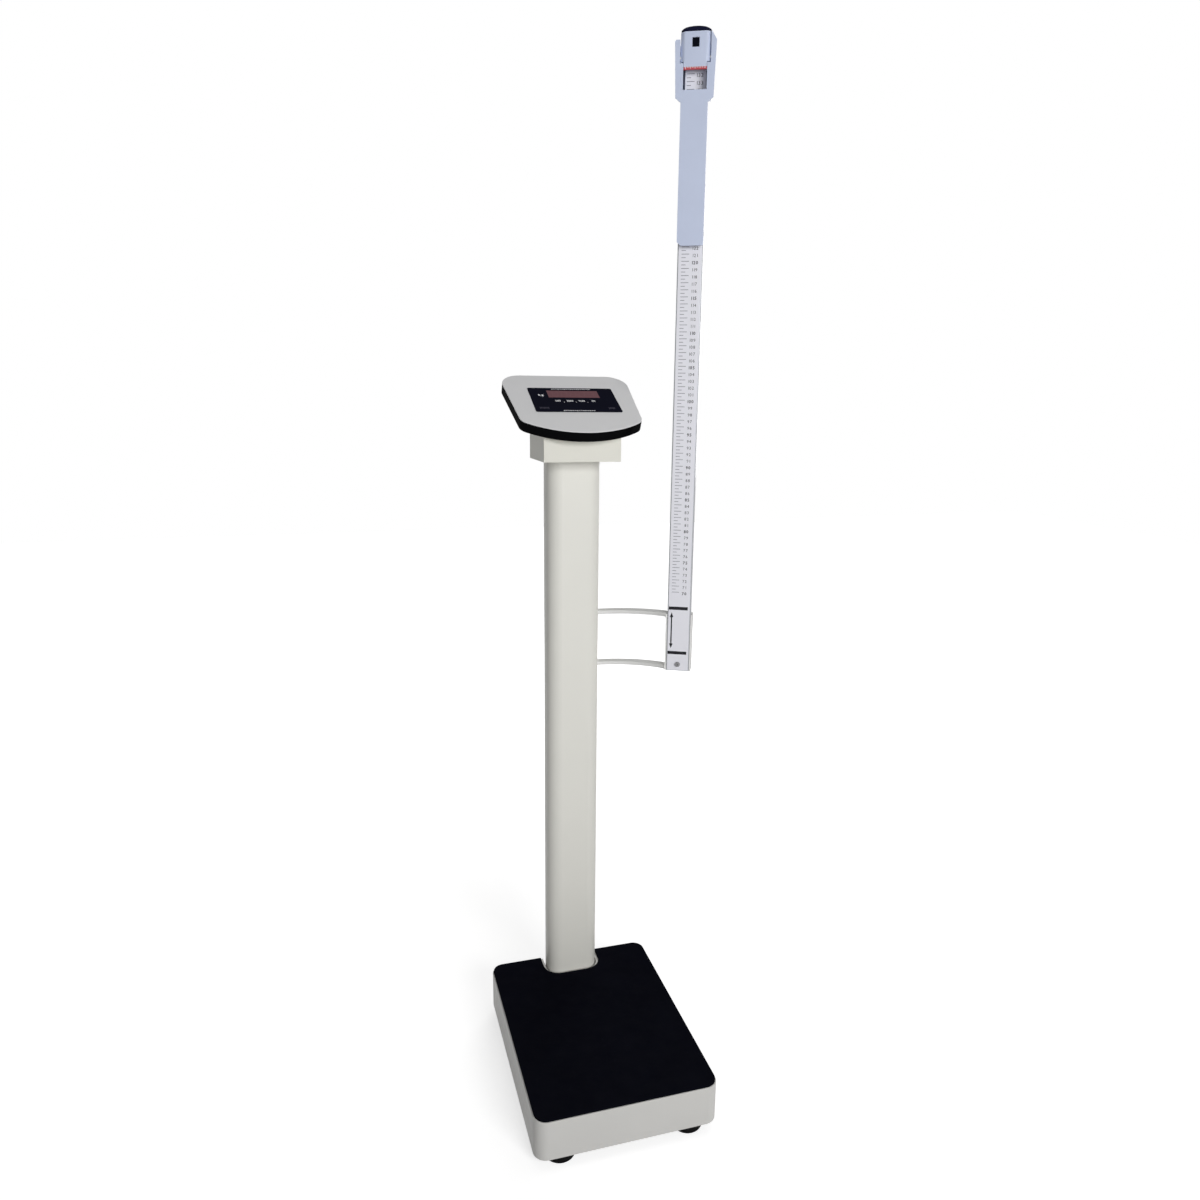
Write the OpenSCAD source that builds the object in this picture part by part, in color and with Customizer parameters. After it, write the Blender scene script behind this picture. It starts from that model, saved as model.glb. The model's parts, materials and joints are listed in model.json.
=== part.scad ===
// Electronic column scale with a telescopic height rod.
// Millimetres, +Z up, floor at z = 0, the user stands at -Y looking at the column.
// The column leans on the rear edge of the platform and the height rod stands on two side arms.

/* [Platform] */
// Width of the platform cover, left to right
platform_w = 284; // [270:1:300]
// Depth of the platform cover, front to back
platform_d = 375; // [365:1:400]
// Height of the top of the rubber mat above the floor
mat_top = 82; // [80:1:90]
// Gap between the floor and the lower edge of the cover
skirt_gap = 15; // [12:1:18]
// Radius of the upright corners of the cover
corner_r = 20; // [15:1:32]
// Thickness of the rubber mat
mat_t = 3.5; // [2:0.5:4]
// Thickness of the cover's sheet metal
cover_t = 1.5; // [1:0.25:2]
// Distance from the cover's edge to the edge of the mat
mat_inset = 1.5; // [1:0.5:5]

/* [Feet] */
// Diameter of a foot at its top
foot_d = 48; // [42:1:50]
// Distance of a foot's centre from the middle, left to right
foot_x = 100; // [95:1:104]
// Distance of a foot's centre from the middle, front to back
foot_y = 160.5; // [156:0.5:162]

/* [Column] */
// Width of the column
column_w = 88; // [86:1:90]
// Depth of the column
column_d = 56; // [54:1:58]
// Corner radius of the column
column_r = 22; // [18:1:24]
// Distance of the column's front face behind the middle of the platform
column_front = 139.5; // [138:0.5:141]
// Wall thickness of the column
column_t = 2; // [1.5:0.25:3]
// Height of the column's top above the mat
column_top_h = 906; // [880:1:930]

/* [Head] */
// Width of the head box
head_w = 122; // [116:1:130]
// Depth of the head box
head_d = 102; // [98:1:106]
// Slope of the indicator tray
tray_tilt = 27; // [22:0.5:30]
// Length of the tray, along its slope
tray_l = 184; // [176:1:190]
// Width of the tray at its back
tray_back_w = 208; // [200:1:216]
// Width of the tray at its front
tray_front_w = 193; // [186:1:200]
// Height of the tray's back edge above the mat
tray_back_h = 1036; // [1030:1:1045]
// Distance of the tray's back edge behind the middle of the platform
tray_back_y = 232; // [228:1:236]
// Thickness of the tray, from its top face to its underside
tray_t = 17; // [14:1:18]
// Width of the membrane panel
panel_w = 138; // [130:1:144]
// Height of the membrane panel, along the slope
panel_l = 78; // [72:1:82]

/* [Height rod] */
// Distance of the rod's front face to the right of the middle of the platform
rod_x = 154; // [152:0.5:158]
// Distance of the rod's front face behind the middle of the platform
rod_y = 70.5; // [66:0.5:76]
// Turn of the rod towards the middle of the platform
rod_turn = 26; // [22:1:30]
// Width of the outer rod
rod_w = 37.5; // [36:0.5:39]
// Depth of the outer rod
rod_d = 20; // [19:0.5:21]
// Height of the outer rod's foot above the mat
rod_foot_h = 569; // [560:1:575]
// Height of the outer rod's top above the mat
rod_top_h = 1306; // [1300:1:1312]
// Height of the inner rod's top above the mat, as photographed
inner_top_h = 1500; // [1320:10:1700]
// Length of the folding blade below its head
blade_l = 196; // [170:1:200]
// Width of the folding blade
blade_w = 38.4; // [34:0.4:40]

/* [Hidden] */
$fn = 64;

// Small amount by which a cutting solid runs past the face it cuts
past = 1;
// Clearance between parts that move past each other
slip = 0.3;
// Radial clearance of a running fit
run_fit = 0.05;

// Column, from its front face back
column_mid_y = column_front + column_d / 2;
column_top = mat_top + column_top_h;

// The head box stands flush with the column's back, give or take the sheet
head_back = column_front + column_d + 5;
head_front = head_back - head_d;
head_t = 1.5;

// Corners of the rod group seen from above, for the part's outline
rod_sin = sin(rod_turn);
rod_cos = cos(rod_turn);
slider_half = 21.2;
slider_back = 23;
right_edge = rod_x + slider_half * rod_cos + slider_back * rod_sin;

// The origin is under the middle of the whole part: half way between its outermost faces
origin_x = (right_edge - platform_w / 2) / 2;
origin_y = (tray_back_y + tray_t * sin(tray_tilt) - platform_d / 2) / 2;

// Base frame and what stands on it
tube_w = 30;
tube_h = 20;
tube_t = 2;
tube_l = 2 * foot_y + tube_w;
foot_h = 17;
foot_chamfer = 1.5;
frame_top = foot_h + tube_h;
cross_l = 2 * foot_x - tube_w;
cell_w = 30;
cell_l = 130;
cell_h = 22;
cell_end = 47.5;
cell_bolt_gap = 15;
cell_bolt_r = 3;
spacer_t = 3;
cell_z = frame_top + spacer_t;
top_frame_h = 12;
top_frame_z = cell_z + cell_h + spacer_t;
cover_top = mat_top - mat_t;
notch_half = column_w / 2 + 2;
mat_notch_half = column_w / 2 + 6.5;
foot_screw_r = 3;
stop_r = 4;
stop_y = 130;

// Column's fasteners and the hole that the cable passes
flange_t = 6;
flange_half = 64;
flange_front = 128;
flange_back = 182;
flange_tongue_half = 43;
flange_z = frame_top;
plate_t = 5;
column_bolt_r = 4;
column_bolt_x = 52;
column_bolt_y = [155, 171];
head_bolt_r = 2.5;
head_bolt_x = 26;
head_bolt_y = 10;
cable_r = 2;
cable_hole_r = 6;
cable_hole_z = 53;
cable_x = 5;

// Tray's own parts, measured from its top face and its back edge
sheet_t = 1.5;
trim_t = 2.5;
wall_t = 2;
back_corner_r = 32;
front_corner_r = 20;
front_arc_r = 150;
front_arc_y = front_arc_r - tray_l;
front_corner_x = tray_front_w / 2 - front_corner_r;
panel_t = 0.8;
panel_x = 2;
panel_y = -83.5;
panel_corner_r = 3;
window_w = 83;
window_l = 23;
window_x = 3.5;
window_y = -65;
key_w = 12;
key_l = 7.5;
key_y = -87.5;
key_x = [-25.5, -6.5, 12.5, 31.5];
key_travel = 0.4;
key_bottom = -4.1;
board_t = 1.6;
board_top = -8;
board_w = 150;
board_l = 66;
board_y = -84;
connector_front = -116;
connector_h = 8;
tray_opening = [96, 96];
tray_opening_y = -96;
standoff_x = 68;
standoff_y = 26;

// Battery
battery_size = [101, 70, 47];
battery_y = 160;
battery_z = column_top + 8;
strap_w = 20;
strap_t = 1.2;

// Rear connectors of the head box
inlet_x = -28;
inlet_z = column_top + 76;
inlet_r = 5.5;
switch_x = 26;
switch_z = column_top + 75;
switch_half = [6.5, 9.5];
switch_depth = 18;
rocker_half = [5.3, 7];
rocker_turn_r = 8.7;
rocker_axle_r = 1.2;
rocker_tilt = 10;
rocker_axle_y = head_back - 3;

// Side arms
arm_h = 6;
arm_w = 18;
arm_rise = 6.5;
arm_lower_z = mat_top + rod_foot_h + 1 - arm_rise;
arm_upper_z = arm_lower_z + 88;
clamp_t = 2.5;
clamp_side = rod_w / 2 + clamp_t;
arm_start = [column_w / 2, 157];
arm_end = [rod_x - clamp_side * rod_cos + 12 * rod_sin, rod_y + clamp_side * rod_sin + 12 * rod_cos];
arm_bow = 11;
clamp_low = rod_foot_h;
clamp_high = clamp_low + 94;
clamp_front = 1;

// Outer rod
rod_wall = 1.8;
rod_corner_r = 2;
label_t = 0.3;
label_w = 34;
plug_h = 8;
bush_h = 36;
bush_lip = 1;
clamp_screw_r = 2.5;
clamp_screw_low = rod_foot_h + 11;
clamp_screw_high = rod_foot_h + 81;

// Inner rod
inner_w = 31.5;
inner_d = 14;
inner_front = 3;
inner_wall = 1.5;
inner_corner_r = 1.5;
inner_l = 722;
inner_foot_h = inner_top_h - inner_l;
inner_label_w = 29;
shoe_h = 12;
shoe_play = 0.35;
inner_label_top = inner_top_h - 42;
cap_boss_h = 8;
cap_half = 20.8;
cap_rim = 2.5;
cap_dome = 3.5;

// Slider and its latch
slider_front = -13;
slider_low = inner_top_h - 80;
slider_high = inner_top_h - slip;
slider_bore_x = rod_w / 2 + 0.4;
slider_bore_front = -0.9;
slider_bore_back = rod_d + 0.4;
block_low = inner_top_h - 38;
tongue_low = block_low - 7;
tongue_half = 16.3;
cheek_front = -3.4;
latch_z = inner_top_h - 14;
latch_w = 9.4;
latch_h = 11.6;
latch_flange = 2;
latch_flange_t = 1.2;
latch_step = -7.7;
latch_pocket_back = -2.3;
latch_front = -12;
spring_r = 3;
spring_wire_r = 0.3;
spring_turns = 2;
spring_pitch = 0.65;

// Blade hinge
hinge_y = -6.5;
hinge_z = inner_top_h - 32;
pin_r = 2.5;
pin_inner_x = 12;
ear_gap = 0.4;
ear_in = slider_half + ear_gap;
ear_t = 3;
knuckle_r = 6;
plate_back = -10;
shoulder_half = 26.8;
ear_half = 29;
shoulder_low = inner_top_h - 84;
ear_top = inner_top_h - 10;
ear_peak = 10;
cutout_low = hinge_z - 8;
window_half = 16.7;
window_low = inner_top_h - 74;
blade_low = shoulder_low - blade_l;
blade_chamfer = [6, 5];

// ---------------------------------------------------------------- frames

// Puts a piece that was drawn around the platform's middle into the part's own frame
module seat() {
    translate([-origin_x, -origin_y, 0]) children();
}

// The tray's frame: its top face is z = 0, its back edge is y = 0, +Y runs up the slope
module at_tray() {
    seat() translate([0, tray_back_y, mat_top + tray_back_h]) rotate([tray_tilt, 0, 0]) children();
}

// The rod's frame: the rod's front face is y = 0, z is the height above the mat, so z is the reading
module at_rod() {
    seat() translate([rod_x, rod_y, mat_top]) rotate([0, 0, -rod_turn]) children();
}

// ---------------------------------------------------------------- shared shapes

// A rectangle with rounded corners, around the origin
module rounded_rect(w, d, r) {
    union() {
        square([w - 2 * r, d], center = true);
        square([w, d - 2 * r], center = true);
        for (sx = [-1, 1], sy = [-1, 1])
            translate([sx * (w / 2 - r), sy * (d / 2 - r)]) circle(r);
    }
}

// A block given by its low and its high corner
module block(low, high) {
    translate(low) cube(high - low);
}

// A block that is the same on both sides of x = 0
module centred_block(half, low_y, high_y, low_z, high_z) {
    block([-half, low_y, low_z], [half, high_y, high_z]);
}

// An upright cylinder from one height to another
module post(r, low, high) {
    translate([0, 0, low]) cylinder(r = r, h = high - low);
}

// A hole or pin along X
module along_x(r, low, high) {
    translate([low, 0, 0]) rotate([0, 90, 0]) cylinder(r = r, h = high - low);
}

// A hole or pin along Y
module along_y(r, low, high) {
    translate([0, low, 0]) rotate([-90, 0, 0]) cylinder(r = r, h = high - low);
}

// A pan-head screw with its head up: the head's underside is z = 0
module screw(r, head_r, head_h, length) {
    post(r, -length, 0);
    post(head_r, 0, head_h);
}

// Outline of the column, drawn where it stands
module column_outline(shrink = 0) {
    translate([0, column_mid_y])
        rounded_rect(column_w - 2 * shrink, column_d - 2 * shrink, column_r - shrink);
}

// Outline of the tray, straight at the back, tapering forwards and bowed at the front
module tray_outline() {
    corner_reach = front_arc_r - front_corner_r;
    corner_y = front_arc_y - sqrt(corner_reach * corner_reach - front_corner_x * front_corner_x);
    bow_half = front_corner_x * front_arc_r / corner_reach;
    bow_y = front_arc_y - sqrt(front_arc_r * front_arc_r - bow_half * bow_half);
    hull() {
        for (side = [-1, 1]) {
            translate([side * (tray_back_w / 2 - back_corner_r), -back_corner_r])
                circle(back_corner_r, $fn = 48);
            translate([side * front_corner_x, corner_y]) circle(front_corner_r, $fn = 48);
        }
        intersection() {
            translate([0, front_arc_y]) circle(front_arc_r, $fn = 180);
            translate([-bow_half, -tray_l]) square([2 * bow_half, bow_y + tray_l]);
        }
    }
}

// A round tube swept along a list of points
function unit(v) = v / norm(v);
function heading(path, i) =
    unit(path[min(i + 1, len(path) - 1)] - path[max(i - 1, 0)]);
function side_of(direction) =
    abs(direction.z) > 0.9 ? unit(cross([0, 1, 0], direction)) : unit(cross([0, 0, 1], direction));
function ring(path, r, sides, i) =
    let (ahead = heading(path, i), across = side_of(ahead), up = cross(ahead, across))
    [for (k = [0 : sides - 1])
        path[i] + r * (cos(360 * k / sides) * across + sin(360 * k / sides) * up)];

module swept_tube(path, r, sides) {
    last = len(path) - 1;
    points = [for (i = [0 : last]) each ring(path, r, sides, i)];
    wall = [for (i = [0 : last - 1], k = [0 : sides - 1])
        [i * sides + k, (i + 1) * sides + k, (i + 1) * sides + (k + 1) % sides, i * sides + (k + 1) % sides]];
    start = [for (k = [0 : sides - 1]) k];
    finish = [for (k = [sides - 1 : -1 : 0]) last * sides + k];
    polyhedron(points, concat(wall, [start, finish]));
}

// ---------------------------------------------------------------- platform

// Welded frame under the platform: two side tubes and three channels across
module base_frame() {
    color("dimgray") seat() difference() {
        union() {
            for (side = [-1, 1])
                translate([side * foot_x, 0, 0])
                    difference() {
                        centred_block(tube_w / 2, -tube_l / 2, tube_l / 2, foot_h, frame_top);
                        centred_block(tube_w / 2 - tube_t, -tube_l / 2 - past, tube_l / 2 + past,
                            foot_h + tube_t, frame_top - tube_t);
                    }
            for (y = [-foot_y, -cell_end, foot_y])
                translate([0, y, 0])
                    difference() {
                        centred_block(cross_l / 2, -tube_w / 2, tube_w / 2, foot_h, frame_top);
                        centred_block(cross_l / 2 + past, tube_t - tube_w / 2, tube_w / 2 - tube_t,
                            foot_h - past, frame_top - tube_t);
                    }
        }
        for (sx = [-1, 1], sy = [-1, 1]) {
            translate([sx * foot_x, sy * foot_y, 0]) post(foot_screw_r, 0, foot_h + tube_h / 2);
            translate([sx * foot_x, sy * stop_y, 0]) post(stop_r, foot_h + tube_h / 2, frame_top + past);
        }
        for (dy = [-1, 1])
            translate([0, dy * cell_bolt_gap / 2 - cell_end, 0]) post(cell_bolt_r, 0, frame_top + past);
        for (sx = [-1, 1], y = column_bolt_y)
            translate([sx * column_bolt_x, y, 0]) post(column_bolt_r, 0, frame_top + past);
    }
}

// One moulded rubber foot with a counterbored hole for its screw
module foot(sx, sy) {
    color([0.03, 0.03, 0.03]) seat() translate([sx * foot_x, sy * foot_y, 0])
        difference() {
            union() {
                cylinder(r1 = foot_d / 2 - foot_chamfer, r2 = foot_d / 2, h = 2 * foot_chamfer);
                post(foot_d / 2, 2 * foot_chamfer, foot_h);
            }
            post(foot_screw_r + 4, -past, 6);
            post(foot_screw_r, 0, foot_h + past);
        }
}

module foot_front_left() { foot(-1, -1); }
module foot_front_right() { foot(1, -1); }
module foot_rear_left() { foot(-1, 1); }
module foot_rear_right() { foot(1, 1); }

// Screws that hold the feet, head down in the counterbore
module foot_screws() {
    color("silver") seat()
        for (sx = [-1, 1], sy = [-1, 1])
            translate([sx * foot_x, sy * foot_y, 6]) mirror([0, 0, 1])
                screw(foot_screw_r, foot_screw_r + 3, 3.5, foot_h + tube_t + 3 - 6);
}

// Lower spacer under the fixed end of the load cell, upper spacer on its free end
module load_cell_spacers() {
    color("silver") seat()
        for (end = [-1, 1])
            difference() {
                translate([0, end * cell_end, end < 0 ? frame_top : cell_z + cell_h])
                    centred_block(cell_w / 2, -cell_w / 2, cell_w / 2, 0, spacer_t);
                for (dy = [-1, 1])
                    translate([0, end * cell_end + dy * cell_bolt_gap / 2, 0])
                        post(cell_bolt_r, frame_top - past, top_frame_z + past);
            }
}

// Single-point load cell: an aluminium beam weakened by two joined bores
module load_cell() {
    bore_r = 7.5;
    bore_y = 8;
    color([0.78, 0.79, 0.8]) seat() difference() {
        centred_block(cell_w / 2, -cell_l / 2, cell_l / 2, cell_z, cell_z + cell_h);
        for (end = [-1, 1])
            translate([0, end * bore_y, cell_z + cell_h / 2])
                along_x(bore_r, -cell_w / 2 - past, cell_w / 2 + past);
        for (end = [-1, 1], dy = [-1, 1])
            translate([0, end * cell_end + dy * cell_bolt_gap / 2, 0])
                post(cell_bolt_r, cell_z - past, cell_z + cell_h + past);
    }
}

// Two bolts up into the fixed end and two bolts down into the free end
module load_cell_bolts() {
    head_h = 4;
    color("silver") seat()
        for (dy = [-1, 1]) {
            translate([0, dy * cell_bolt_gap / 2 - cell_end, frame_top - tube_t])
                mirror([0, 0, 1]) screw(cell_bolt_r, 5, head_h, tube_t + spacer_t + 14);
            translate([0, dy * cell_bolt_gap / 2 + cell_end, top_frame_z + top_frame_h - head_h - 1])
                screw(cell_bolt_r, 5, head_h, top_frame_h - head_h - 1 + spacer_t + 14);
        }
}

// Bolts and lock nuts that stop the platform before the load cell is overloaded
module overload_stops() {
    stop_gap = 1;
    color("silver") seat()
        for (sx = [-1, 1], sy = [-1, 1])
            translate([sx * foot_x, sy * stop_y, 0]) {
                post(stop_r, frame_top - tube_t, top_frame_z - stop_gap);
                translate([0, 0, frame_top]) cylinder(r = 7.5, h = 6, $fn = 6);
            }
}

// Welded frame of flat bars that carries the cover and hangs on the free end of the cell
module platform_frame() {
    bar_w = 24;
    front_y = 174;
    rear_y = column_front - 8;
    spine_half = 18;
    low = top_frame_z;
    high = top_frame_z + top_frame_h;
    color("dimgray") seat() difference() {
        union() {
            for (side = [-1, 1])
                translate([side * foot_x, 0, 0]) centred_block(bar_w / 2, -front_y, front_y, low, high);
            centred_block(foot_x - bar_w / 2, -front_y, bar_w - front_y, low, high);
            centred_block(foot_x - bar_w / 2, rear_y - bar_w, rear_y, low, high);
            centred_block(spine_half, bar_w - front_y, rear_y - bar_w, low, high);
        }
        for (dy = [-1, 1])
            translate([0, dy * cell_bolt_gap / 2 + cell_end, 0]) {
                post(cell_bolt_r, low - past, high + past);
                post(5.5, high - 5, high + past);
            }
    }
}

// Pressed cover with a deep skirt and a U notch round the column
module platform_cover() {
    inner_r = corner_r - cover_t;
    color([0.86, 0.86, 0.84]) seat() difference() {
        translate([0, 0, skirt_gap]) linear_extrude(cover_top - skirt_gap)
            rounded_rect(platform_w, platform_d, corner_r);
        translate([0, 0, skirt_gap - past]) linear_extrude(cover_top - cover_t - skirt_gap + past)
            rounded_rect(platform_w - 2 * cover_t, platform_d - 2 * cover_t, inner_r);
        column_notch(notch_half, skirt_gap - past, cover_top + past);
    }
}

// The U-shaped slot that leaves room for the column, open to the back
module column_notch(half, low, high) {
    reach = half - column_w / 2;
    notch_r = column_r + reach;
    notch_y = column_front - reach + notch_r;
    translate([0, 0, low]) linear_extrude(high - low) union() {
        for (side = [-1, 1]) translate([side * (half - notch_r), notch_y]) circle(notch_r);
        translate([notch_r - half, column_front - reach]) square([2 * (half - notch_r), notch_r]);
        translate([-half, notch_y]) square([2 * half, platform_d]);
    }
}

// Rubber mat on the cover
module platform_mat() {
    color([0.03, 0.03, 0.04]) seat() difference() {
        translate([0, 0, cover_top]) linear_extrude(mat_t)
            rounded_rect(platform_w - 2 * mat_inset, platform_d - 2 * mat_inset, corner_r - mat_inset);
        column_notch(mat_notch_half, cover_top - past, mat_top + past);
    }
}

// ---------------------------------------------------------------- column

// Flange that the column is welded to
module column_flange() {
    color("dimgray") seat() difference() {
        union() {
            centred_block(flange_half, flange_front, flange_back, flange_z, flange_z + flange_t);
            centred_block(flange_tongue_half, flange_back, column_front + column_d,
                flange_z, flange_z + flange_t);
        }
        for (sx = [-1, 1], y = column_bolt_y)
            translate([sx * column_bolt_x, y, 0])
                post(column_bolt_r, flange_z - past, flange_z + flange_t + past);
    }
}

// Bolts through the flange into the rear channel
module column_bolts() {
    color("silver") seat()
        for (sx = [-1, 1], y = column_bolt_y)
            translate([sx * column_bolt_x, y, flange_z + flange_t])
                screw(column_bolt_r, 6.5, 5, flange_t + 10);
}

// Column tube
module column() {
    color([0.87, 0.87, 0.86]) seat() difference() {
        translate([0, 0, flange_z + flange_t]) linear_extrude(column_top - flange_z - flange_t)
            column_outline();
        translate([0, 0, flange_z]) linear_extrude(column_top - flange_z + past)
            column_outline(column_t);
        translate([cable_x, 0, cable_hole_z])
            along_y(cable_hole_r, column_front - past, column_front + column_t + past);
    }
}

// Plate welded into the top of the column
module column_top_plate() {
    color("dimgray") seat() difference() {
        translate([0, 0, column_top - plate_t]) linear_extrude(plate_t) column_outline(column_t);
        translate([cable_x, column_mid_y, 0]) post(cable_hole_r, column_top - plate_t - past, column_top + past);
        head_bolt_holes();
    }
}

// Four holes that join the head box to the column
module head_bolt_holes() {
    for (sx = [-1, 1], sy = [-1, 1])
        translate([sx * head_bolt_x, column_mid_y + sy * head_bolt_y, 0])
            post(head_bolt_r, column_top - plate_t - past, column_top + head_t + past);
}

// ---------------------------------------------------------------- head box

// Everything further below the tray's top face than a given depth, as a cutting solid
module below_tray(depth) {
    reach = 2 * tray_l;
    at_tray() block([-reach, -reach, -depth - reach], [reach, reach, -depth]);
}

// Inside or outside of the head box before the slope cuts it
module head_prism(shrink, low) {
    seat() centred_block(head_w / 2 - shrink, head_front + shrink, head_back - shrink,
        low, column_top + 2 * head_d);
}

// Sheet-metal box with a floor, four walls and a sloping lip that carries the tray
module head_box() {
    floor_z = column_top + head_t;
    lip = 12;
    color([0.86, 0.86, 0.82]) difference() {
        intersection() {
            head_prism(0, column_top);
            below_tray(tray_t);
        }
        intersection() {
            head_prism(head_t, floor_z);
            below_tray(tray_t + head_t);
        }
        head_prism(lip, floor_z);
        tray_screw_holes();
        seat() {
            head_bolt_holes();
            translate([cable_x, column_mid_y, 0]) post(cable_hole_r, column_top - past, floor_z + past);
            translate([inlet_x, 0, inlet_z]) along_y(inlet_r, head_back - head_t - past, head_back + past);
            translate([switch_x, 0, switch_z])
                centred_block(switch_half[0], head_back - head_t - past, head_back + past,
                    -switch_half[1], switch_half[1]);
        }
    }
}

// Four places, in the tray's frame, where the tray is screwed to the lip of the head box
module at_tray_screws() {
    inset = 7.5;
    for (sx = [-1, 1], y = [head_front + inset, head_back - inset])
        at_tray() translate([
            sx * (head_w / 2 - inset),
            (y - tray_back_y - tray_t * sin(tray_tilt)) / cos(tray_tilt),
            sheet_t - tray_t]) children();
}

module tray_screw_holes() {
    at_tray_screws() post(2, -2 * tray_t, past);
}

// Bolts that join the head box to the column's top plate
module head_box_bolts() {
    color("silver") seat()
        for (sx = [-1, 1], sy = [-1, 1])
            translate([sx * head_bolt_x, column_mid_y + sy * head_bolt_y, column_top + head_t])
                screw(head_bolt_r, 4.5, 3.5, head_t + plate_t + 3);
}

// Rubber grommet through the box's floor and the column's top plate
module cable_grommet() {
    flange_r = cable_hole_r + 2;
    low = column_top - plate_t;
    high = column_top + head_t;
    color([0.05, 0.05, 0.05]) seat() translate([cable_x, column_mid_y, 0]) difference() {
        union() {
            post(flange_r, low - 1, low);
            post(cable_hole_r, low, high);
            post(flange_r, high, high + 1);
        }
        post(cable_r, low - 2, high + 2);
    }
}

// Middle of the connector's front face, where the cable ends, before the part is seated
function connector_face() =
    let (y = connector_front, z = board_top - board_t - connector_h / 2)
    [cable_x,
     tray_back_y + y * cos(tray_tilt) - z * sin(tray_tilt),
     mat_top + tray_back_h + y * sin(tray_tilt) + z * cos(tray_tilt)];

// Cable from the load cell, through the column, to the circuit board
module load_cell_cable() {
    in_column = column_mid_y;
    over_floor = column_top + 5;
    socket = connector_face();
    before_socket = socket - 8 * [0, cos(tray_tilt), sin(tray_tilt)];
    route = [
        [15, -50, 51], [24, -50, 51], [32, -44, 51], [36, -30, 51], [36, 95, 51], [32, 110, 51],
        [16, 122, 52], [7, 130, 53], [cable_x, 137, 53], [cable_x, 148, 54], [cable_x, 159, 60],
        [cable_x, 166, 72], [cable_x, in_column, 90], [cable_x, in_column, 520],
        [cable_x, in_column, over_floor - 3], [cable_x, in_column - 1.5, over_floor - 0.8],
        [cable_x, in_column - 5, over_floor], [cable_x, 128, over_floor],
        [cable_x, 120, over_floor + 3], [cable_x, 117, over_floor + 12],
        [cable_x, 117, over_floor + 36], [cable_x, 120, over_floor + 48], before_socket, socket
    ];
    color([0.15, 0.15, 0.16]) seat() swept_tube(route, cable_r, 8);
}

// Sealed battery with two blade terminals
module battery() {
    half = battery_size / 2;
    color([0.12, 0.12, 0.13]) seat() translate([0, battery_y, battery_z]) {
        block([-half.x, -half.y, 0], [half.x, half.y, battery_size.z - 2]);
        for (side = [-1, 1])
            translate([side * 38, -26, battery_size.z - 2]) block([-3, -0.5, 0], [3, 0.5, 2]);
    }
}

// Two rails and a strap that hold the battery to the floor of the head box
module battery_strap() {
    rail_w = 10;
    inner_half = battery_size.x / 2;
    floor_z = column_top + head_t;
    top_z = battery_z + battery_size.z - 2;
    color("silver") seat() {
        for (side = [-1, 1]) {
            translate([side * (inner_half - rail_w / 2), 0, 0])
                centred_block(rail_w / 2, battery_y - 34, battery_y + 34, floor_z, battery_z);
            translate([side * (inner_half + strap_t / 2), 0, 0])
                centred_block(strap_t / 2, battery_y - strap_w / 2, battery_y + strap_w / 2,
                    floor_z, top_z + strap_t);
        }
        centred_block(inner_half, battery_y - strap_w / 2, battery_y + strap_w / 2, top_z, top_z + strap_t);
    }
}

// Round power inlet with its centre pin
module power_inlet() {
    color([0.05, 0.05, 0.05]) seat() translate([inlet_x, 0, inlet_z]) {
        difference() {
            union() {
                along_y(inlet_r + 2, head_back, head_back + 2);
                along_y(inlet_r, head_back - 13, head_back);
            }
            along_y(3, head_back - 9, head_back + 3);
        }
        along_y(1, head_back - 10, head_back - 1);
    }
}

// Housing and bezel of the rocker switch, with bores for the rocker's stub axles
module switch_housing() {
    bezel = 1;
    color([0.05, 0.05, 0.05]) seat() translate([switch_x, 0, switch_z]) difference() {
        union() {
            centred_block(switch_half[0], head_back - switch_depth, head_back,
                -switch_half[1], switch_half[1]);
            centred_block(switch_half[0] + bezel, head_back, head_back + 2,
                -switch_half[1] - bezel, switch_half[1] + bezel);
        }
        centred_block(rocker_half[0] + slip, rocker_axle_y - rocker_turn_r - slip, head_back + 3,
            -rocker_turn_r, rocker_turn_r);
        translate([0, rocker_axle_y, 0])
            along_x(rocker_axle_r + run_fit, -switch_half[0] - past, switch_half[0] + past);
    }
}

// Rocker, stored tipped to its off position
module switch_rocker() {
    face = 3.5;
    tip = face + rocker_half[1] * tan(rocker_tilt);
    color([0.08, 0.08, 0.08]) seat() translate([switch_x, rocker_axle_y, switch_z])
        rotate([-rocker_tilt, 0, 0]) {
            rotate([90, 0, 90]) translate([0, 0, -rocker_half[0]]) linear_extrude(2 * rocker_half[0])
                polygon([[-4.5, -rocker_half[1]], [tip, -rocker_half[1]], [face, 0],
                    [tip, rocker_half[1]], [-4.5, rocker_half[1]]]);
            along_x(rocker_axle_r, -switch_half[0] + slip / 2, switch_half[0] - slip / 2);
        }
}

// ---------------------------------------------------------------- indicator tray

// Openings for the keys, drawn in the tray's frame
module key_openings(gap) {
    for (x = key_x)
        translate([x, key_y]) square([key_w + 2 * gap, key_l + 2 * gap], center = true);
}

// Lower shell of the tray, open over the head box
module tray_shell() {
    floor_z = sheet_t - tray_t;
    color([0.8, 0.8, 0.78]) difference() {
        at_tray() translate([0, 0, -tray_t]) linear_extrude(tray_t - sheet_t)
            offset(delta = -trim_t) tray_outline();
        at_tray() translate([0, 0, floor_z]) linear_extrude(tray_t)
            offset(delta = -trim_t - wall_t) tray_outline();
        at_tray() translate([0, tray_opening_y, 0])
            centred_block(tray_opening.x / 2, -tray_opening.y / 2, tray_opening.y / 2,
                -tray_t - past, floor_z + past);
        tray_screw_holes();
    }
}

// Glossy black band round the edge of the tray
module edge_trim() {
    color([0.02, 0.02, 0.02]) at_tray() translate([0, 0, -tray_t]) linear_extrude(tray_t - sheet_t)
        difference() {
            tray_outline();
            offset(delta = -trim_t) tray_outline();
        }
}

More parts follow.
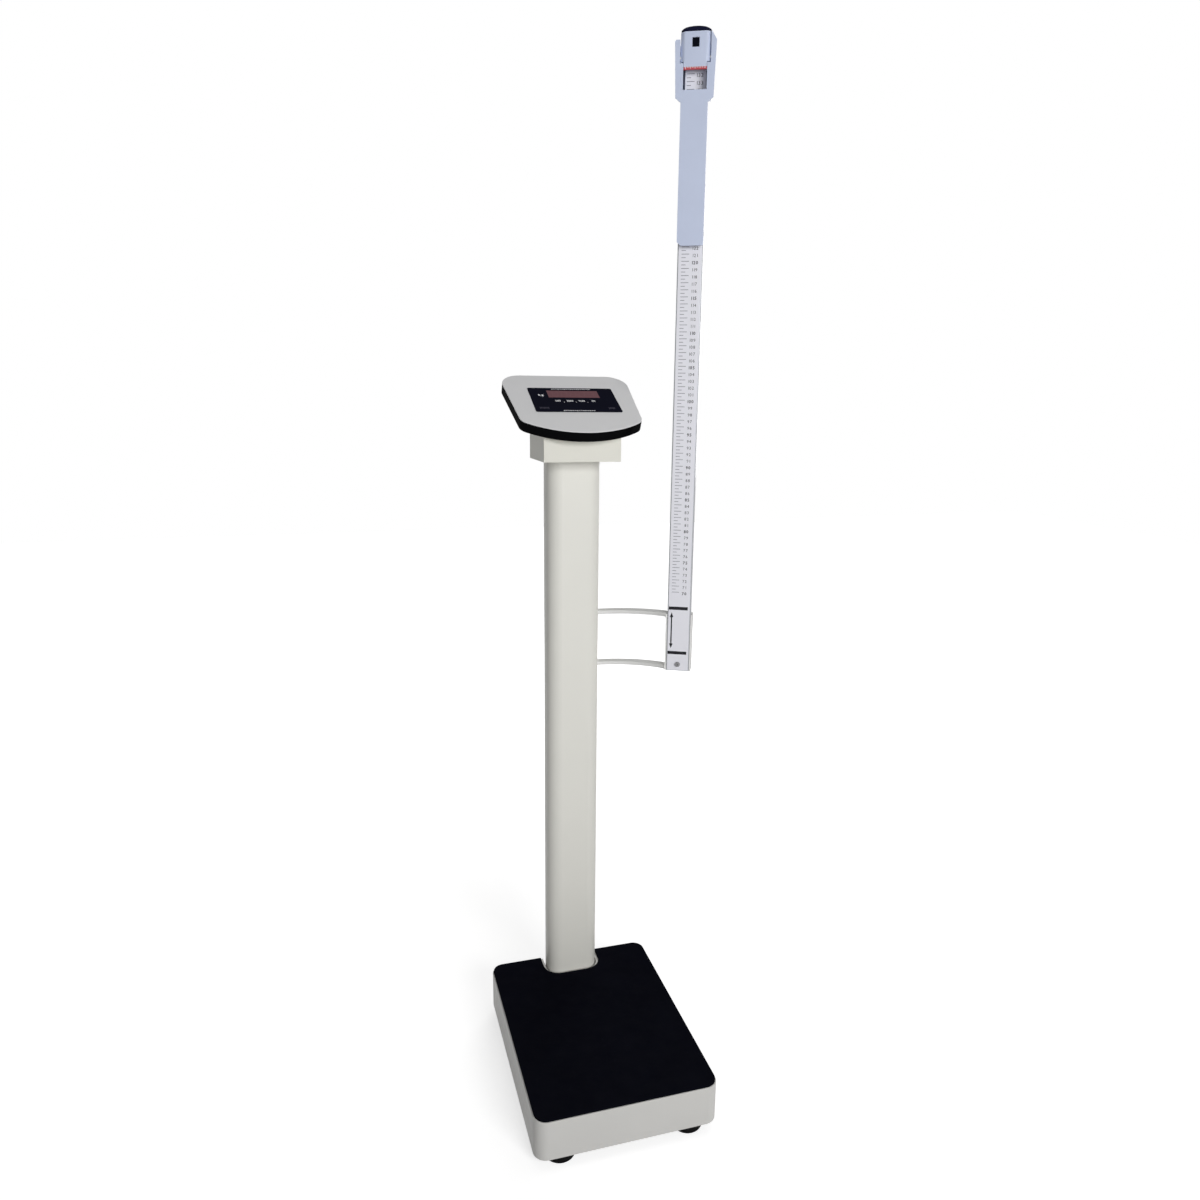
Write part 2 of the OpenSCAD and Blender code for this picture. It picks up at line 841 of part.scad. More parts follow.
// Light grey top plate with openings for the display and the keys
module top_plate() {
    ledge = 1.5;
    color([0.76, 0.76, 0.76]) at_tray() translate([0, 0, -sheet_t]) linear_extrude(sheet_t)
        difference() {
            tray_outline();
            translate([window_x, window_y])
                square([window_w - 2 * ledge, window_l - 2 * ledge], center = true);
            key_openings(slip);
        }
}

// Screws that hold the tray on the lip of the head box
module tray_screws() {
    color("silver") at_tray_screws() screw(2, 3.8, 2.5, 2 * sheet_t + 4);
}

// Dark printed panel with openings for the display window and the keys
module membrane_panel() {
    color([0.05, 0.05, 0.1]) at_tray() linear_extrude(panel_t) difference() {
        translate([panel_x, panel_y]) rounded_rect(panel_w, panel_l, panel_corner_r);
        translate([window_x, window_y]) square([window_w, window_l], center = true);
        key_openings(slip);
    }
}

// One key: a pad in the panel and a flange under the top plate
module key(index) {
    flange = 1.2;
    flange_top = -sheet_t - slip;
    color([0.08, 0.08, 0.14]) at_tray() translate([key_x[index], key_y, 0]) {
        block([-key_w / 2, -key_l / 2, key_bottom], [key_w / 2, key_l / 2, panel_t]);
        block([-key_w / 2 - flange, -key_l / 2 - flange, flange_top - 1],
            [key_w / 2 + flange, key_l / 2 + flange, flange_top]);
    }
}

module unit_key() { key(0); }
module zero_key() { key(1); }
module tare_key() { key(2); }
module power_key() { key(3); }

// Dark red window over the display
module display_window() {
    color([0.45, 0.3, 0.32]) at_tray() translate([window_x, window_y, 0]) linear_extrude(panel_t)
        square([window_w, window_l], center = true);
}

// LED digit block that stands on the circuit board
module led_display() {
    half = [38, 9];
    color([0.2, 0.05, 0.05]) at_tray() translate([window_x, window_y, 0])
        block([-half.x, -half.y, board_top], [half.x, half.y, -slip]);
}

// Circuit board with the cable's connector on its underside
module circuit_board() {
    low = board_top - board_t;
    color([0.1, 0.35, 0.2]) at_tray() {
        translate([0, board_y, 0])
            block([-board_w / 2, -board_l / 2, low], [board_w / 2, board_l / 2, board_top]);
        translate([cable_x, 0, 0])
            centred_block(6, connector_front, connector_front + 10, low - connector_h, low);
    }
}

// Spacers between the tray's floor and the circuit board
module board_standoffs() {
    color("gold") at_tray()
        for (sx = [-1, 1], sy = [-1, 1])
            translate([sx * standoff_x, board_y + sy * standoff_y, 0])
                post(3, sheet_t - tray_t, board_top - board_t);
}

// Push switches under the keys
module tact_switches() {
    half = 3;
    color([0.1, 0.1, 0.1]) at_tray()
        for (x = key_x)
            translate([x, key_y, 0])
                block([-half, -half, board_top], [half, half, key_bottom - key_travel - 0.1]);
}

// ---------------------------------------------------------------- side arms and clamp

// Flat bar, bowed backwards and rising a little, from the column's side to the side of the clamp
module arm(low) {
    chord = arm_end - arm_start;
    span = norm(chord);
    bend_r = (span * span / 4 + arm_bow * arm_bow) / (2 * arm_bow);
    spare = 12;
    color([0.8, 0.8, 0.8]) difference() {
        seat() translate([arm_start.x, arm_start.y, low])
            rotate([0, -asin(arm_rise / span), atan2(chord.y, chord.x)])
            linear_extrude(arm_h) intersection() {
                translate([span / 2, arm_bow - bend_r]) difference() {
                    circle(bend_r + arm_w / 2, $fn = 240);
                    circle(bend_r - arm_w / 2, $fn = 240);
                }
                translate([-spare, -3 * arm_w]) square([span + 2 * spare, 6 * arm_w]);
            }
        seat() translate([0, 0, low - arm_h]) linear_extrude(3 * arm_h) column_outline();
        at_rod() block([-clamp_side, -rod_w, rod_foot_h - rod_w], [4 * rod_w, 4 * rod_w, rod_top_h]);
    }
}

module upper_arm() { arm(arm_upper_z); }
module lower_arm() { arm(arm_lower_z); }

// Channel that holds the foot of the outer rod
module rod_clamp() {
    color([0.82, 0.82, 0.82]) at_rod() difference() {
        centred_block(clamp_side, clamp_front, rod_d + clamp_t, clamp_low, clamp_high);
        centred_block(rod_w / 2, clamp_front - past, rod_d, clamp_low - past, clamp_high + past);
        for (z = [clamp_screw_low, clamp_screw_high])
            translate([0, 0, z]) along_y(clamp_screw_r, rod_d - past, rod_d + clamp_t + past);
    }
}

// Through bolt with its nut at the foot, and a shorter screw from behind higher up
module clamp_screws() {
    head_r = 4.2;
    head_h = 2.4;
    back = rod_d + clamp_t;
    color("silver") at_rod() {
        translate([0, 0, clamp_screw_low]) {
            along_y(head_r, -label_t - head_h, -label_t);
            along_y(clamp_screw_r, -label_t, back + 3);
            translate([0, back, 0]) rotate([-90, 0, 0]) cylinder(r = 5, h = 4, $fn = 6);
        }
        translate([0, 0, clamp_screw_high]) {
            along_y(clamp_screw_r, rod_d - rod_wall, back);
            along_y(head_r, back, back + head_h);
        }
    }
}

// ---------------------------------------------------------------- outer rod

module rod_outline(w, d, r) {
    translate([0, rod_d / 2]) rounded_rect(w, d, r);
}

// Outer tube of the height rod
module outer_rod() {
    color([0.84, 0.84, 0.84]) at_rod() difference() {
        translate([0, 0, rod_foot_h]) linear_extrude(rod_top_h - rod_foot_h)
            rod_outline(rod_w, rod_d, rod_corner_r);
        translate([0, 0, rod_foot_h - past]) linear_extrude(rod_top_h - rod_foot_h + 2 * past)
            rod_outline(rod_w - 2 * rod_wall, rod_d - 2 * rod_wall, rod_corner_r / 2);
        translate([0, 0, clamp_screw_low]) along_y(clamp_screw_r, -past, rod_d + past);
        translate([0, 0, clamp_screw_high]) along_y(clamp_screw_r, rod_d / 2, rod_d + past);
    }
}

// Printed scale on the front of the outer rod
module outer_scale() {
    color([0.86, 0.86, 0.86]) at_rod() difference() {
        centred_block(label_w / 2, -label_t, 0, rod_foot_h + 1, rod_top_h - 1);
        translate([0, 0, clamp_screw_low]) along_y(clamp_screw_r, -past, past);
    }
}

// Plastic plug in the foot of the outer rod
module rod_plug() {
    color([0.1, 0.1, 0.1]) at_rod() translate([0, 0, rod_foot_h]) linear_extrude(plug_h)
        rod_outline(rod_w - 2 * rod_wall, rod_d - 2 * rod_wall, rod_corner_r / 2);
}

// Plastic bush that guides the inner rod in the top of the outer rod
module rod_bush() {
    low_y = inner_front - label_t - slip;
    high_y = inner_front + inner_d + slip;
    color([0.85, 0.85, 0.85]) at_rod() difference() {
        union() {
            translate([0, 0, rod_top_h - bush_h]) linear_extrude(bush_h)
                rod_outline(rod_w - 2 * rod_wall, rod_d - 2 * rod_wall, rod_corner_r / 2);
            translate([0, 0, rod_top_h]) linear_extrude(bush_lip) rod_outline(rod_w, rod_d, rod_corner_r);
        }
        centred_block(inner_w / 2 + slip, low_y, high_y, rod_top_h - bush_h - past,
            rod_top_h + bush_lip + past);
    }
}

// ---------------------------------------------------------------- inner rod

module inner_outline(shrink) {
    translate([0, inner_front + inner_d / 2])
        rounded_rect(inner_w - 2 * shrink, inner_d - 2 * shrink, inner_corner_r - shrink / 2);
}

// Inner tube, which slides up out of the outer rod
module inner_rod() {
    low = inner_foot_h + shoe_h;
    color([0.8, 0.82, 0.84]) at_rod() difference() {
        translate([0, 0, low]) linear_extrude(inner_top_h - low) inner_outline(0);
        translate([0, 0, low - past]) linear_extrude(inner_top_h - low + 2 * past)
            inner_outline(inner_wall);
    }
}

// Printed scale on the front of the inner rod
module inner_scale() {
    color([0.88, 0.88, 0.88]) at_rod()
        centred_block(inner_label_w / 2, inner_front - label_t, inner_front,
            inner_foot_h + shoe_h, inner_label_top);
}

// Plastic shoe that guides the inner rod's foot in the outer rod
module inner_shoe() {
    spigot_h = 12;
    color([0.9, 0.9, 0.9]) at_rod() {
        translate([0, 0, inner_foot_h]) linear_extrude(shoe_h)
            rod_outline(rod_w - 2 * (rod_wall + shoe_play), rod_d - 2 * (rod_wall + shoe_play),
                rod_corner_r / 2);
        translate([0, 0, inner_foot_h + shoe_h]) linear_extrude(spigot_h) inner_outline(inner_wall);
    }
}

// Outline of the slider and the cap seen from above, with its bevelled front corners
module slider_outline(half) {
    bevel = [7, 3.5];
    polygon([
        [-half, slider_back], [-half, slider_front + 5], [bevel.y - half, slider_front + 1.5],
        [bevel.x - half, slider_front], [half - bevel.x, slider_front], [half - bevel.y, slider_front + 1.5],
        [half, slider_front + 5], [half, slider_back]]);
}

// Black cap on the inner rod, with a boss that seats the slider and a spigot in the tube
module rod_cap() {
    spigot_h = 15;
    dome_r = (cap_half * cap_half + cap_dome * cap_dome) / (2 * cap_dome);
    color([0.03, 0.03, 0.08]) at_rod() {
        intersection() {
            translate([0, 0, inner_top_h]) linear_extrude(2 * cap_dome) slider_outline(cap_half);
            translate([0, 0, inner_top_h + cap_rim + cap_dome - dome_r])
                along_y(dome_r, 2 * slider_front, 2 * slider_back, $fn = 180);
        }
        difference() {
            centred_block(slider_bore_x - slip, slider_bore_front + slip, slider_bore_back - slip,
                inner_top_h - cap_boss_h, inner_top_h);
            translate([0, 0, inner_top_h - cap_boss_h - past]) linear_extrude(cap_boss_h + past)
                inner_outline(0);
        }
        translate([0, 0, inner_top_h - spigot_h]) linear_extrude(spigot_h) inner_outline(inner_wall);
    }
}

// ---------------------------------------------------------------- slider and blade

// Collar that runs on the rods, with the block that carries the latch and the blade's hinge
module slider_body() {
    sill = 6;
    lug_out = 2.8;
    lug_top = hinge_z - knuckle_r - slip;
    color([0.75, 0.79, 0.86]) at_rod() {
        difference() {
            union() {
                translate([0, 0, block_low]) linear_extrude(slider_high - block_low)
                    slider_outline(slider_half);
                centred_block(tongue_half, slider_front, slider_bore_front, tongue_low, block_low);
                centred_block(slider_half, cheek_front, slider_back, slider_low, block_low);
            }
            centred_block(slider_bore_x, slider_bore_front, slider_bore_back,
                slider_low - past, slider_high + past);
            centred_block(slider_bore_x, cheek_front - past, slider_bore_front + past,
                slider_low + sill, tongue_low);
            latch_hollow();
            for (side = [-1, 1]) scale([side, 1, 1]) translate([0, hinge_y, hinge_z])
                along_x(pin_r, pin_inner_x, slider_half + past);
        }
        for (side = [-1, 1])
            translate([side * (slider_half + lug_out / 2), 0, 0])
                centred_block(lug_out / 2, 4, 9, lug_top - 5, lug_top);
    }
}

// Opening for the latch button and the pocket for its flange and spring
module latch_hollow() {
    translate([0, 0, latch_z]) {
        centred_block(latch_w / 2 + slip, slider_front - past, latch_step + past,
            -latch_h / 2 - slip, latch_h / 2 + slip);
        latch_pocket(latch_step, slider_bore_front + past);
    }
}

module latch_pocket(low_y, high_y) {
    half_h = latch_h / 2 + latch_flange + slip;
    centred_block(latch_w / 2 + latch_flange + slip, low_y, high_y, -half_h, half_h);
}

// Square button that frees the slider when it is pressed
module latch_button() {
    half_h = latch_h / 2;
    color([0.02, 0.02, 0.03]) at_rod() translate([0, 0, latch_z]) {
        centred_block(latch_w / 2, latch_front, latch_step + slip, -half_h, half_h);
        centred_block(latch_w / 2 + latch_flange, latch_step + slip, latch_step + slip + latch_flange_t,
            -half_h - latch_flange, half_h + latch_flange);
    }
}

// Plate that closes the latch's pocket towards the rod
module latch_plate() {
    color([0.7, 0.74, 0.8]) at_rod() translate([0, 0, latch_z])
        latch_pocket(latch_pocket_back, slider_bore_front);
}

// Coil spring behind the latch, drawn as short as it is with the button pressed
module latch_spring() {
    steps = 12;
    route = [for (i = [0 : spring_turns * steps])
        [spring_r * cos(360 * i / steps), latch_pocket_back - spring_wire_r - spring_pitch * i / steps,
            spring_r * sin(360 * i / steps)]];
    color("silver") at_rod() translate([0, 0, latch_z]) swept_tube(route, spring_wire_r, 6);
}

// Two pins pressed into the slider, on which the blade turns
module hinge_pins() {
    head_r = 3.2;
    head_x = ear_in + ear_t + slip / 2;
    color("silver") at_rod()
        for (side = [-1, 1])
            scale([side, 1, 1]) translate([0, hinge_y, hinge_z]) {
                along_x(pin_r, pin_inner_x, head_x);
                along_x(head_r, head_x, head_x + 1);
            }
}

// Half of the blade's outline, from the tip up to the ear and down round the window
function blade_half(ear) = concat([
    [blade_w / 2, blade_low], [blade_w / 2, shoulder_low - 6], [shoulder_half, shoulder_low],
    [ear_half, ear_top - 2]], ear, [[ear_in, cutout_low], [window_half, cutout_low], [window_half, window_low]]);

// Blade that lies flat in front of the rods and folds up to touch the top of the head.
// Its right ear runs up to a slanted peak beside the cap, its left ear is cut off level.
module measuring_blade() {
    right = blade_half([[ear_in, ear_top + ear_peak]]);
    other = blade_half([[ear_half - 2, ear_top], [ear_in, ear_top]]);
    left = [for (i = [len(other) - 1 : -1 : 1]) [-other[i].x, other[i].y]];
    tip = [[-blade_w / 2, blade_low + blade_chamfer.y], [blade_chamfer.x - blade_w / 2, blade_low]];
    color([0.75, 0.79, 0.88]) at_rod() {
        translate([0, plate_back, 0]) rotate([90, 0, 0]) linear_extrude(plate_back - slider_front)
            polygon(concat(right, left, tip));
        for (side = [-1, 1]) scale([side, 1, 1]) blade_ear();
    }
}

// Ear beside the slider, with the bore that turns on the pin and the heel that meets the stop
module blade_ear() {
    difference() {
        union() {
            translate([0, hinge_y, hinge_z]) along_x(knuckle_r, ear_in, ear_in + ear_t);
            block([ear_in, plate_back, hinge_z - knuckle_r], [ear_in + ear_t, hinge_y, hinge_z]);
            block([ear_in, plate_back, hinge_z], [ear_in + ear_t, hinge_y + knuckle_r, hinge_z + 16]);
        }
        translate([0, hinge_y, hinge_z]) along_x(pin_r + run_fit, ear_in - past, ear_in + ear_t + past);
    }
}

// ---------------------------------------------------------------- the nodes

base_frame();
foot_front_left();
foot_front_right();
foot_rear_left();
foot_rear_right();
foot_screws();
load_cell_spacers();
load_cell();
load_cell_bolts();
overload_stops();
platform_frame();
platform_cover();
platform_mat();
column_flange();
column_bolts();
column();
column_top_plate();
head_box();
head_box_bolts();
cable_grommet();
load_cell_cable();
battery();
battery_strap();
tray_shell();
edge_trim();
top_plate();
tray_screws();
membrane_panel();
unit_key();
zero_key();
tare_key();
power_key();
display_window();
led_display();
circuit_board();
board_standoffs();
tact_switches();
power_inlet();
switch_housing();
switch_rocker();
upper_arm();
lower_arm();
rod_clamp();
clamp_screws();
outer_rod();
outer_scale();
rod_plug();
rod_bush();
inner_rod();
inner_scale();
inner_shoe();
rod_cap();
slider_body();
latch_button();
latch_plate();
latch_spring();
hinge_pins();
measuring_blade();
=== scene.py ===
# %% [markdown]
# # Column scale with a height rod
# The imported CAD model is the frame: every piece below is placed from its nodes, in metres,
# with +Z up. The CAD gives true shapes; this script gives them soft edges, print, small
# fittings and finishes.

# %% Load the frame
import json
import math
import bmesh
import bpy
from mathutils import Matrix, Vector
from mathutils.bvhtree import BVHTree


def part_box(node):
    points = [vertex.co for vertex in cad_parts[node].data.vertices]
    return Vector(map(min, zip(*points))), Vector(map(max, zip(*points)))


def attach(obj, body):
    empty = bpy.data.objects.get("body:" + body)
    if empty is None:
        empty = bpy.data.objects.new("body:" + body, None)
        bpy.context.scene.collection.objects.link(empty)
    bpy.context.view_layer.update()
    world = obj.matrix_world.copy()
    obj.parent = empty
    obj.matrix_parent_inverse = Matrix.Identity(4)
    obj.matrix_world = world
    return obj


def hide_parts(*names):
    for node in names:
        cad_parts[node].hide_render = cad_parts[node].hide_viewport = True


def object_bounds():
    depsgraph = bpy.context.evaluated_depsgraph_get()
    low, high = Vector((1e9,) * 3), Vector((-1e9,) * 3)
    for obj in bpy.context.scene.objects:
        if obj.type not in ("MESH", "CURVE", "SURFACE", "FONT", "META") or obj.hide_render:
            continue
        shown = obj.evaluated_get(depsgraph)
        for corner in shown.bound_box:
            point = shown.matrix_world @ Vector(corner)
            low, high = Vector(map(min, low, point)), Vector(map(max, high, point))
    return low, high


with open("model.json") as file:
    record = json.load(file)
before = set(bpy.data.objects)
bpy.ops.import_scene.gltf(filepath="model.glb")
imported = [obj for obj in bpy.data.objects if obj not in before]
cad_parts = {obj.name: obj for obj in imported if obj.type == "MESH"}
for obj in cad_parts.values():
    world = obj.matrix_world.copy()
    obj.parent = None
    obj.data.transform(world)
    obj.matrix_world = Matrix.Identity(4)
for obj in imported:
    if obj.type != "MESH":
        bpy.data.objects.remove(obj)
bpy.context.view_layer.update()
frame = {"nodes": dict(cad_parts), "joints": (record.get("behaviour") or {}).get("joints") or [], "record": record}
MM = 0.001
SLOT_OF = {part["node"]: part["material_slot"] for part in frame["record"]["subparts"]}
BODY_OF = {node: body for body, nodes in frame["record"]["behaviour"]["bodies"].items() for node in nodes}
JOINT = {joint["name"]: joint for joint in frame["joints"]}

# %% [markdown]
# The height rod is turned towards the middle of the platform and the tray slopes. Each has
# its own axes here, worked out from the joints, so that print and fittings can be laid out
# flat: across the rod and up it, or across the tray and up its slope.

# %% Axes of the rod and of the tray
UP = Vector((0, 0, 1))
mat_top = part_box("platform_mat")[1].z
rod_back = Vector(JOINT["latch_press"]["axis"]).normalized()
rod_right = rod_back.cross(UP)
hinge = Vector(JOINT["blade_fold"]["pos_m"])
hinge_in_front = 6.5 * MM
rod_face = hinge + rod_back * hinge_in_front
rod_face.z = mat_top

tray_normal = -Vector(JOINT["unit_key_press"]["axis"]).normalized()
tray_right = Vector((1, 0, 0))
tray_up = tray_normal.cross(tray_right)


def axes_matrix(origin, right, up, towards):
    """A frame for flat work: X to the right, Y up, Z towards the reader."""
    columns = Matrix((right, up, towards)).transposed().to_4x4()
    return Matrix.Translation(origin) @ columns


def on_rod(across, behind, height):
    """A frame on the rod: mm across and behind its front face, and mm above the mat."""
    origin = rod_face + rod_right * across * MM + rod_back * behind * MM + UP * height * MM
    return axes_matrix(origin, rod_right, UP, -rod_back)


print("rod faces", [round(v, 3) for v in -rod_back], "tray faces", [round(v, 3) for v in tray_normal])

# %% [markdown]
# The photograph was taken from the left at chest height, looking slightly down. The camera
# was settled on the corners of the mat, the column and the centimetre marks of the rod.
# The points are places in the photograph: edges of the object, and things that stand out on it.

# %% Camera and image points
W = H = 1200
L = max(W, H)
CAMERA_PLACE = (-0.38355, -1.25969, 1.08972)
CAMERA_TURN = -0.286575
CAMERA_DIP = 0.226371
CAMERA_ROLL = 0.010542
CAMERA_LENS = 26.815

POINTS = {
    "object_left": (490.0, None),
    "object_right": (718.3, None),
    "object_top": (None, 25.7),
    "object_bottom": (None, 1164.6),
    "tray_left": (503.8, None),
    "tray_low_edge": (None, 440.8),
    "panel": (573.8, 400.4),
    "window": (572.4, 394.7),
    "unit_mark": (540.8, 394.9),
    "first_key_mark": (558.0, 401.0),
    "last_key_mark": (593.0, 401.0),
    "low_dashes": (579.7, 410.6),
    "top_dashes": (570.5, 389.3),
    "latch": (693.9, 41.3),
    "index_band": (692.3, 68.0),
    "mark_120": (684.2, 260.5),
    "mark_70": (676.8, 591.2),
    "upper_bar": (678.2, 608.4),
    "double_arrow": (671.2, 630.3),
    "lower_bar": (677.0, 652.8),
}


def new_object(name, data):
    """An object for that data, linked to the scene."""
    made = bpy.data.objects.new(name, data)
    bpy.context.scene.collection.objects.link(made)
    return made


camera_data = bpy.data.cameras.new("photo_camera")
camera_data.sensor_fit = "AUTO"
camera_data.lens = CAMERA_LENS
camera_data.clip_end = 50
camera = new_object("photo_camera", camera_data)
camera.matrix_world = (
    Matrix.Translation(CAMERA_PLACE)
    @ Matrix.Rotation(CAMERA_TURN, 4, "Z")
    @ Matrix.Rotation(math.pi / 2 - CAMERA_DIP, 4, "X")
    @ Matrix.Rotation(CAMERA_ROLL, 4, "Z")
)
bpy.context.scene.camera = camera
print("camera at", CAMERA_PLACE, "lens", CAMERA_LENS)

# %% [markdown]
# Print and small fittings that the photograph shows go where it shows them: a ray through
# the image point meets the surface that carries the piece. A ray that just misses takes the
# nearest place on that surface.

# %% From the picture to the surface
NEAREST, RAY_STEP, RAY_STEPS = 0.5, 0.002, 1000


def place_on(point, *carriers):
    """Where the ray through an image point meets the carriers, as finished."""
    vertices, faces = [], []
    for carrier in carriers:
        start = len(vertices)
        vertices += [carrier.matrix_world @ v.co for v in carrier.data.vertices]
        faces += [[start + i for i in face.vertices] for face in carrier.data.polygons]
    tree = BVHTree.FromPolygons(vertices, faces)
    x, y = POINTS[point]
    shift_x, shift_y = camera_data.shift_x, camera_data.shift_y
    depth = -L * CAMERA_LENS / camera_data.sensor_width
    ray = Vector((x - W / 2 + shift_x * L, H / 2 - y + shift_y * L, depth))
    ray = (camera.matrix_world.to_3x3() @ ray).normalized()
    eye = camera.matrix_world.translation
    hit = tree.ray_cast(eye, ray)[0]
    if hit is None:
        steps = [eye + ray * (NEAREST + RAY_STEP * k) for k in range(RAY_STEPS)]
        hit = min((tree.find_nearest(place) for place in steps), key=lambda found: found[3])[0]
    return hit


# %% [markdown]
# ## Finishes
# Real surfaces are never one flat colour. Five effects are shared by many finishes, so each
# is a node group with its own inputs: an uneven tone, a fine grain, brushing, worn edges and
# settled dust. A group only gives colours and values. The shader itself stays in each material.

# %% Helpers for node groups
GREY = (0.5, 0.5, 0.5, 1)
KIND_BY_LENGTH = {3: "NodeSocketVector", 4: "NodeSocketColor"}


def srgb(red, green, blue):
    """A colour read from the photograph's scale, 0 to 255, as the linear colour nodes use."""
    linear = [v / 255 / 12.92 if v <= 10 else ((v / 255 + 0.055) / 1.055) ** 2.4 for v in (red, green, blue)]
    return (*linear, 1.0)


def make_group(name, inputs, outputs):
    """An empty shader group with named sockets, whose values tell their kinds: (tree, inputs, ends)."""
    tree = bpy.data.node_groups.new(name, "ShaderNodeTree")
    for way, sockets in (("INPUT", inputs), ("OUTPUT", outputs)):
        for socket_name, value in sockets.items():
            kind = "NodeSocketFloat" if isinstance(value, float) else KIND_BY_LENGTH[len(value)]
            socket = tree.interface.new_socket(socket_name, in_out=way, socket_type=kind)
            if way == "INPUT":
                socket.default_value = value
    return tree, tree.nodes.new("NodeGroupInput").outputs, tree.nodes.new("NodeGroupOutput").inputs


def node_in(tree, kind, wires=None, **settings):
    """The outputs of a new node: settings are its properties and plain inputs, wires its linked inputs."""
    node = tree.nodes.new(kind)
    for key, value in settings.items():
        if hasattr(node, key):
            setattr(node, key, value)
        else:
            node.inputs[key.replace("_", " ")].default_value = value
    for key, source in (wires or {}).items():
        tree.links.new(source, node.inputs[key])
    return node.outputs


def feed(tree, sockets, values):
    """Gives each socket its value: a number is set, and another node's socket is linked."""
    for socket, value in zip(sockets, values):
        if isinstance(value, (int, float)):
            socket.default_value = value
        else:
            tree.links.new(value, socket)


def math_in(tree, operation, first, second):
    """A math node whose inputs are sockets or numbers; gives its output socket."""
    node = tree.nodes.new("ShaderNodeMath")
    node.operation = operation
    feed(tree, node.inputs, (first, second))
    return node.outputs[0]


def swing_in(tree, noise, width):
    """Noise from 0 to 1 as a swing to both sides of 0, as wide in all as width."""
    return math_in(tree, "MULTIPLY", math_in(tree, "SUBTRACT", noise, 0.5), width)


def mix_in(tree, mask, color, covering):
    """The colour where the mask is 0, and the covering colour where it is 1."""
    return node_in(tree, "ShaderNodeMix", {0: mask, 6: color, 7: covering}, data_type="RGBA")[2]


def noise_in(tree, size, detail=3.0, stretch=None):
    """Noise over Object coordinates whose spots are about size metres; size is a socket."""
    place = node_in(tree, "ShaderNodeTexCoord")["Object"]
    if stretch is not None:
        place = node_in(tree, "ShaderNodeVectorMath", {0: place, 1: stretch}, operation="MULTIPLY")[0]
    wires = {"Vector": place, "Scale": math_in(tree, "DIVIDE", 1.0, size)}
    return node_in(tree, "ShaderNodeTexNoise", wires, Detail=detail)["Fac"]


# %% The five shared effects
RELIEF = {"Height": 0.0, "Roughness": 0.5}


def send_relief(tree, given, result, height, smears):
    """Ends a group with a height, and a roughness that swings with the smears."""
    swing = swing_in(tree, smears, given["Spread"])
    tree.links.new(height, result["Height"])
    tree.links.new(math_in(tree, "ADD", given["Roughness"], swing), result["Roughness"])


def uneven_tone_group():
    tree, given, result = make_group(
        "uneven_tone", {"Color": GREY, "Amount": 0.05, "Patch Size": 0.05}, {"Color": GREY})
    swing = swing_in(tree, noise_in(tree, given["Patch Size"], 4.0), given["Amount"])
    value = math_in(tree, "ADD", math_in(tree, "MULTIPLY", swing, 2.0), 1.0)
    tone = node_in(tree, "ShaderNodeHueSaturation", {"Color": given["Color"], "Value": value})
    tree.links.new(tone["Color"], result["Color"])
    return tree


def fine_grain_group():
    tree, given, result = make_group(
        "fine_grain", {"Grain Size": 0.001, "Roughness": 0.5, "Spread": 0.1}, RELIEF)
    grain = noise_in(tree, given["Grain Size"], 2.0)
    smears = noise_in(tree, math_in(tree, "MULTIPLY", given["Grain Size"], 40.0), 5.0)
    send_relief(tree, given, result, grain, smears)
    return tree


def brushing_group():
    tree, given, result = make_group(
        "brushing", {"Stretch": (1, 1, 0.02), "Line Size": 0.0004, "Roughness": 0.3, "Spread": 0.1}, RELIEF)
    lines = noise_in(tree, given["Line Size"], 3.0, given["Stretch"])
    send_relief(tree, given, result, lines, lines)
    return tree


def edge_wear_group():
    tree, given, result = make_group(
        "edge_wear", {"Color": GREY, "Worn Color": (0.8, 0.8, 0.8, 1), "Width": 0.001, "Amount": 0.3},
        {"Color": GREY, "Mask": 0.0})
    rounded = node_in(tree, "ShaderNodeBevel", {"Radius": given["Width"]}, samples=4)["Normal"]
    true = node_in(tree, "ShaderNodeNewGeometry")["Normal"]
    facing = node_in(tree, "ShaderNodeVectorMath", {0: rounded, 1: true}, operation="DOT_PRODUCT")["Value"]
    edge = math_in(tree, "MULTIPLY", math_in(tree, "SUBTRACT", 1.0, facing), 6.0)
    rubbed = noise_in(tree, math_in(tree, "MULTIPLY", given["Width"], 12.0), 6.0)
    mask = math_in(tree, "MULTIPLY", math_in(tree, "MULTIPLY", edge, rubbed), given["Amount"])
    mask = math_in(tree, "MINIMUM", math_in(tree, "MAXIMUM", mask, 0.0), 1.0)
    tree.links.new(mix_in(tree, mask, given["Color"], given["Worn Color"]), result["Color"])
    tree.links.new(mask, result["Mask"])
    return tree


def settled_dust_group():
    tree, given, result = make_group(
        "settled_dust", {"Color": GREY, "Dust Color": (0.5, 0.48, 0.45, 1), "Amount": 0.1}, {"Color": GREY})
    split = node_in(tree, "ShaderNodeSeparateXYZ", {0: node_in(tree, "ShaderNodeNewGeometry")["Normal"]})
    level = math_in(tree, "MAXIMUM", split["Z"], 0.0)
    cloud_size = node_in(tree, "ShaderNodeValue")[0]
    cloud_size.default_value = 0.02
    clouds = noise_in(tree, cloud_size, 8.0)
    mask = math_in(tree, "MULTIPLY", math_in(tree, "MULTIPLY", level, clouds), given["Amount"])
    tree.links.new(mix_in(tree, mask, given["Color"], given["Dust Color"]), result["Color"])
    return tree


UNEVEN_TONE = uneven_tone_group()
FINE_GRAIN = fine_grain_group()
BRUSHING = brushing_group()
EDGE_WEAR = edge_wear_group()
SETTLED_DUST = settled_dust_group()
print("shader groups:", [tree.name for tree in bpy.data.node_groups])

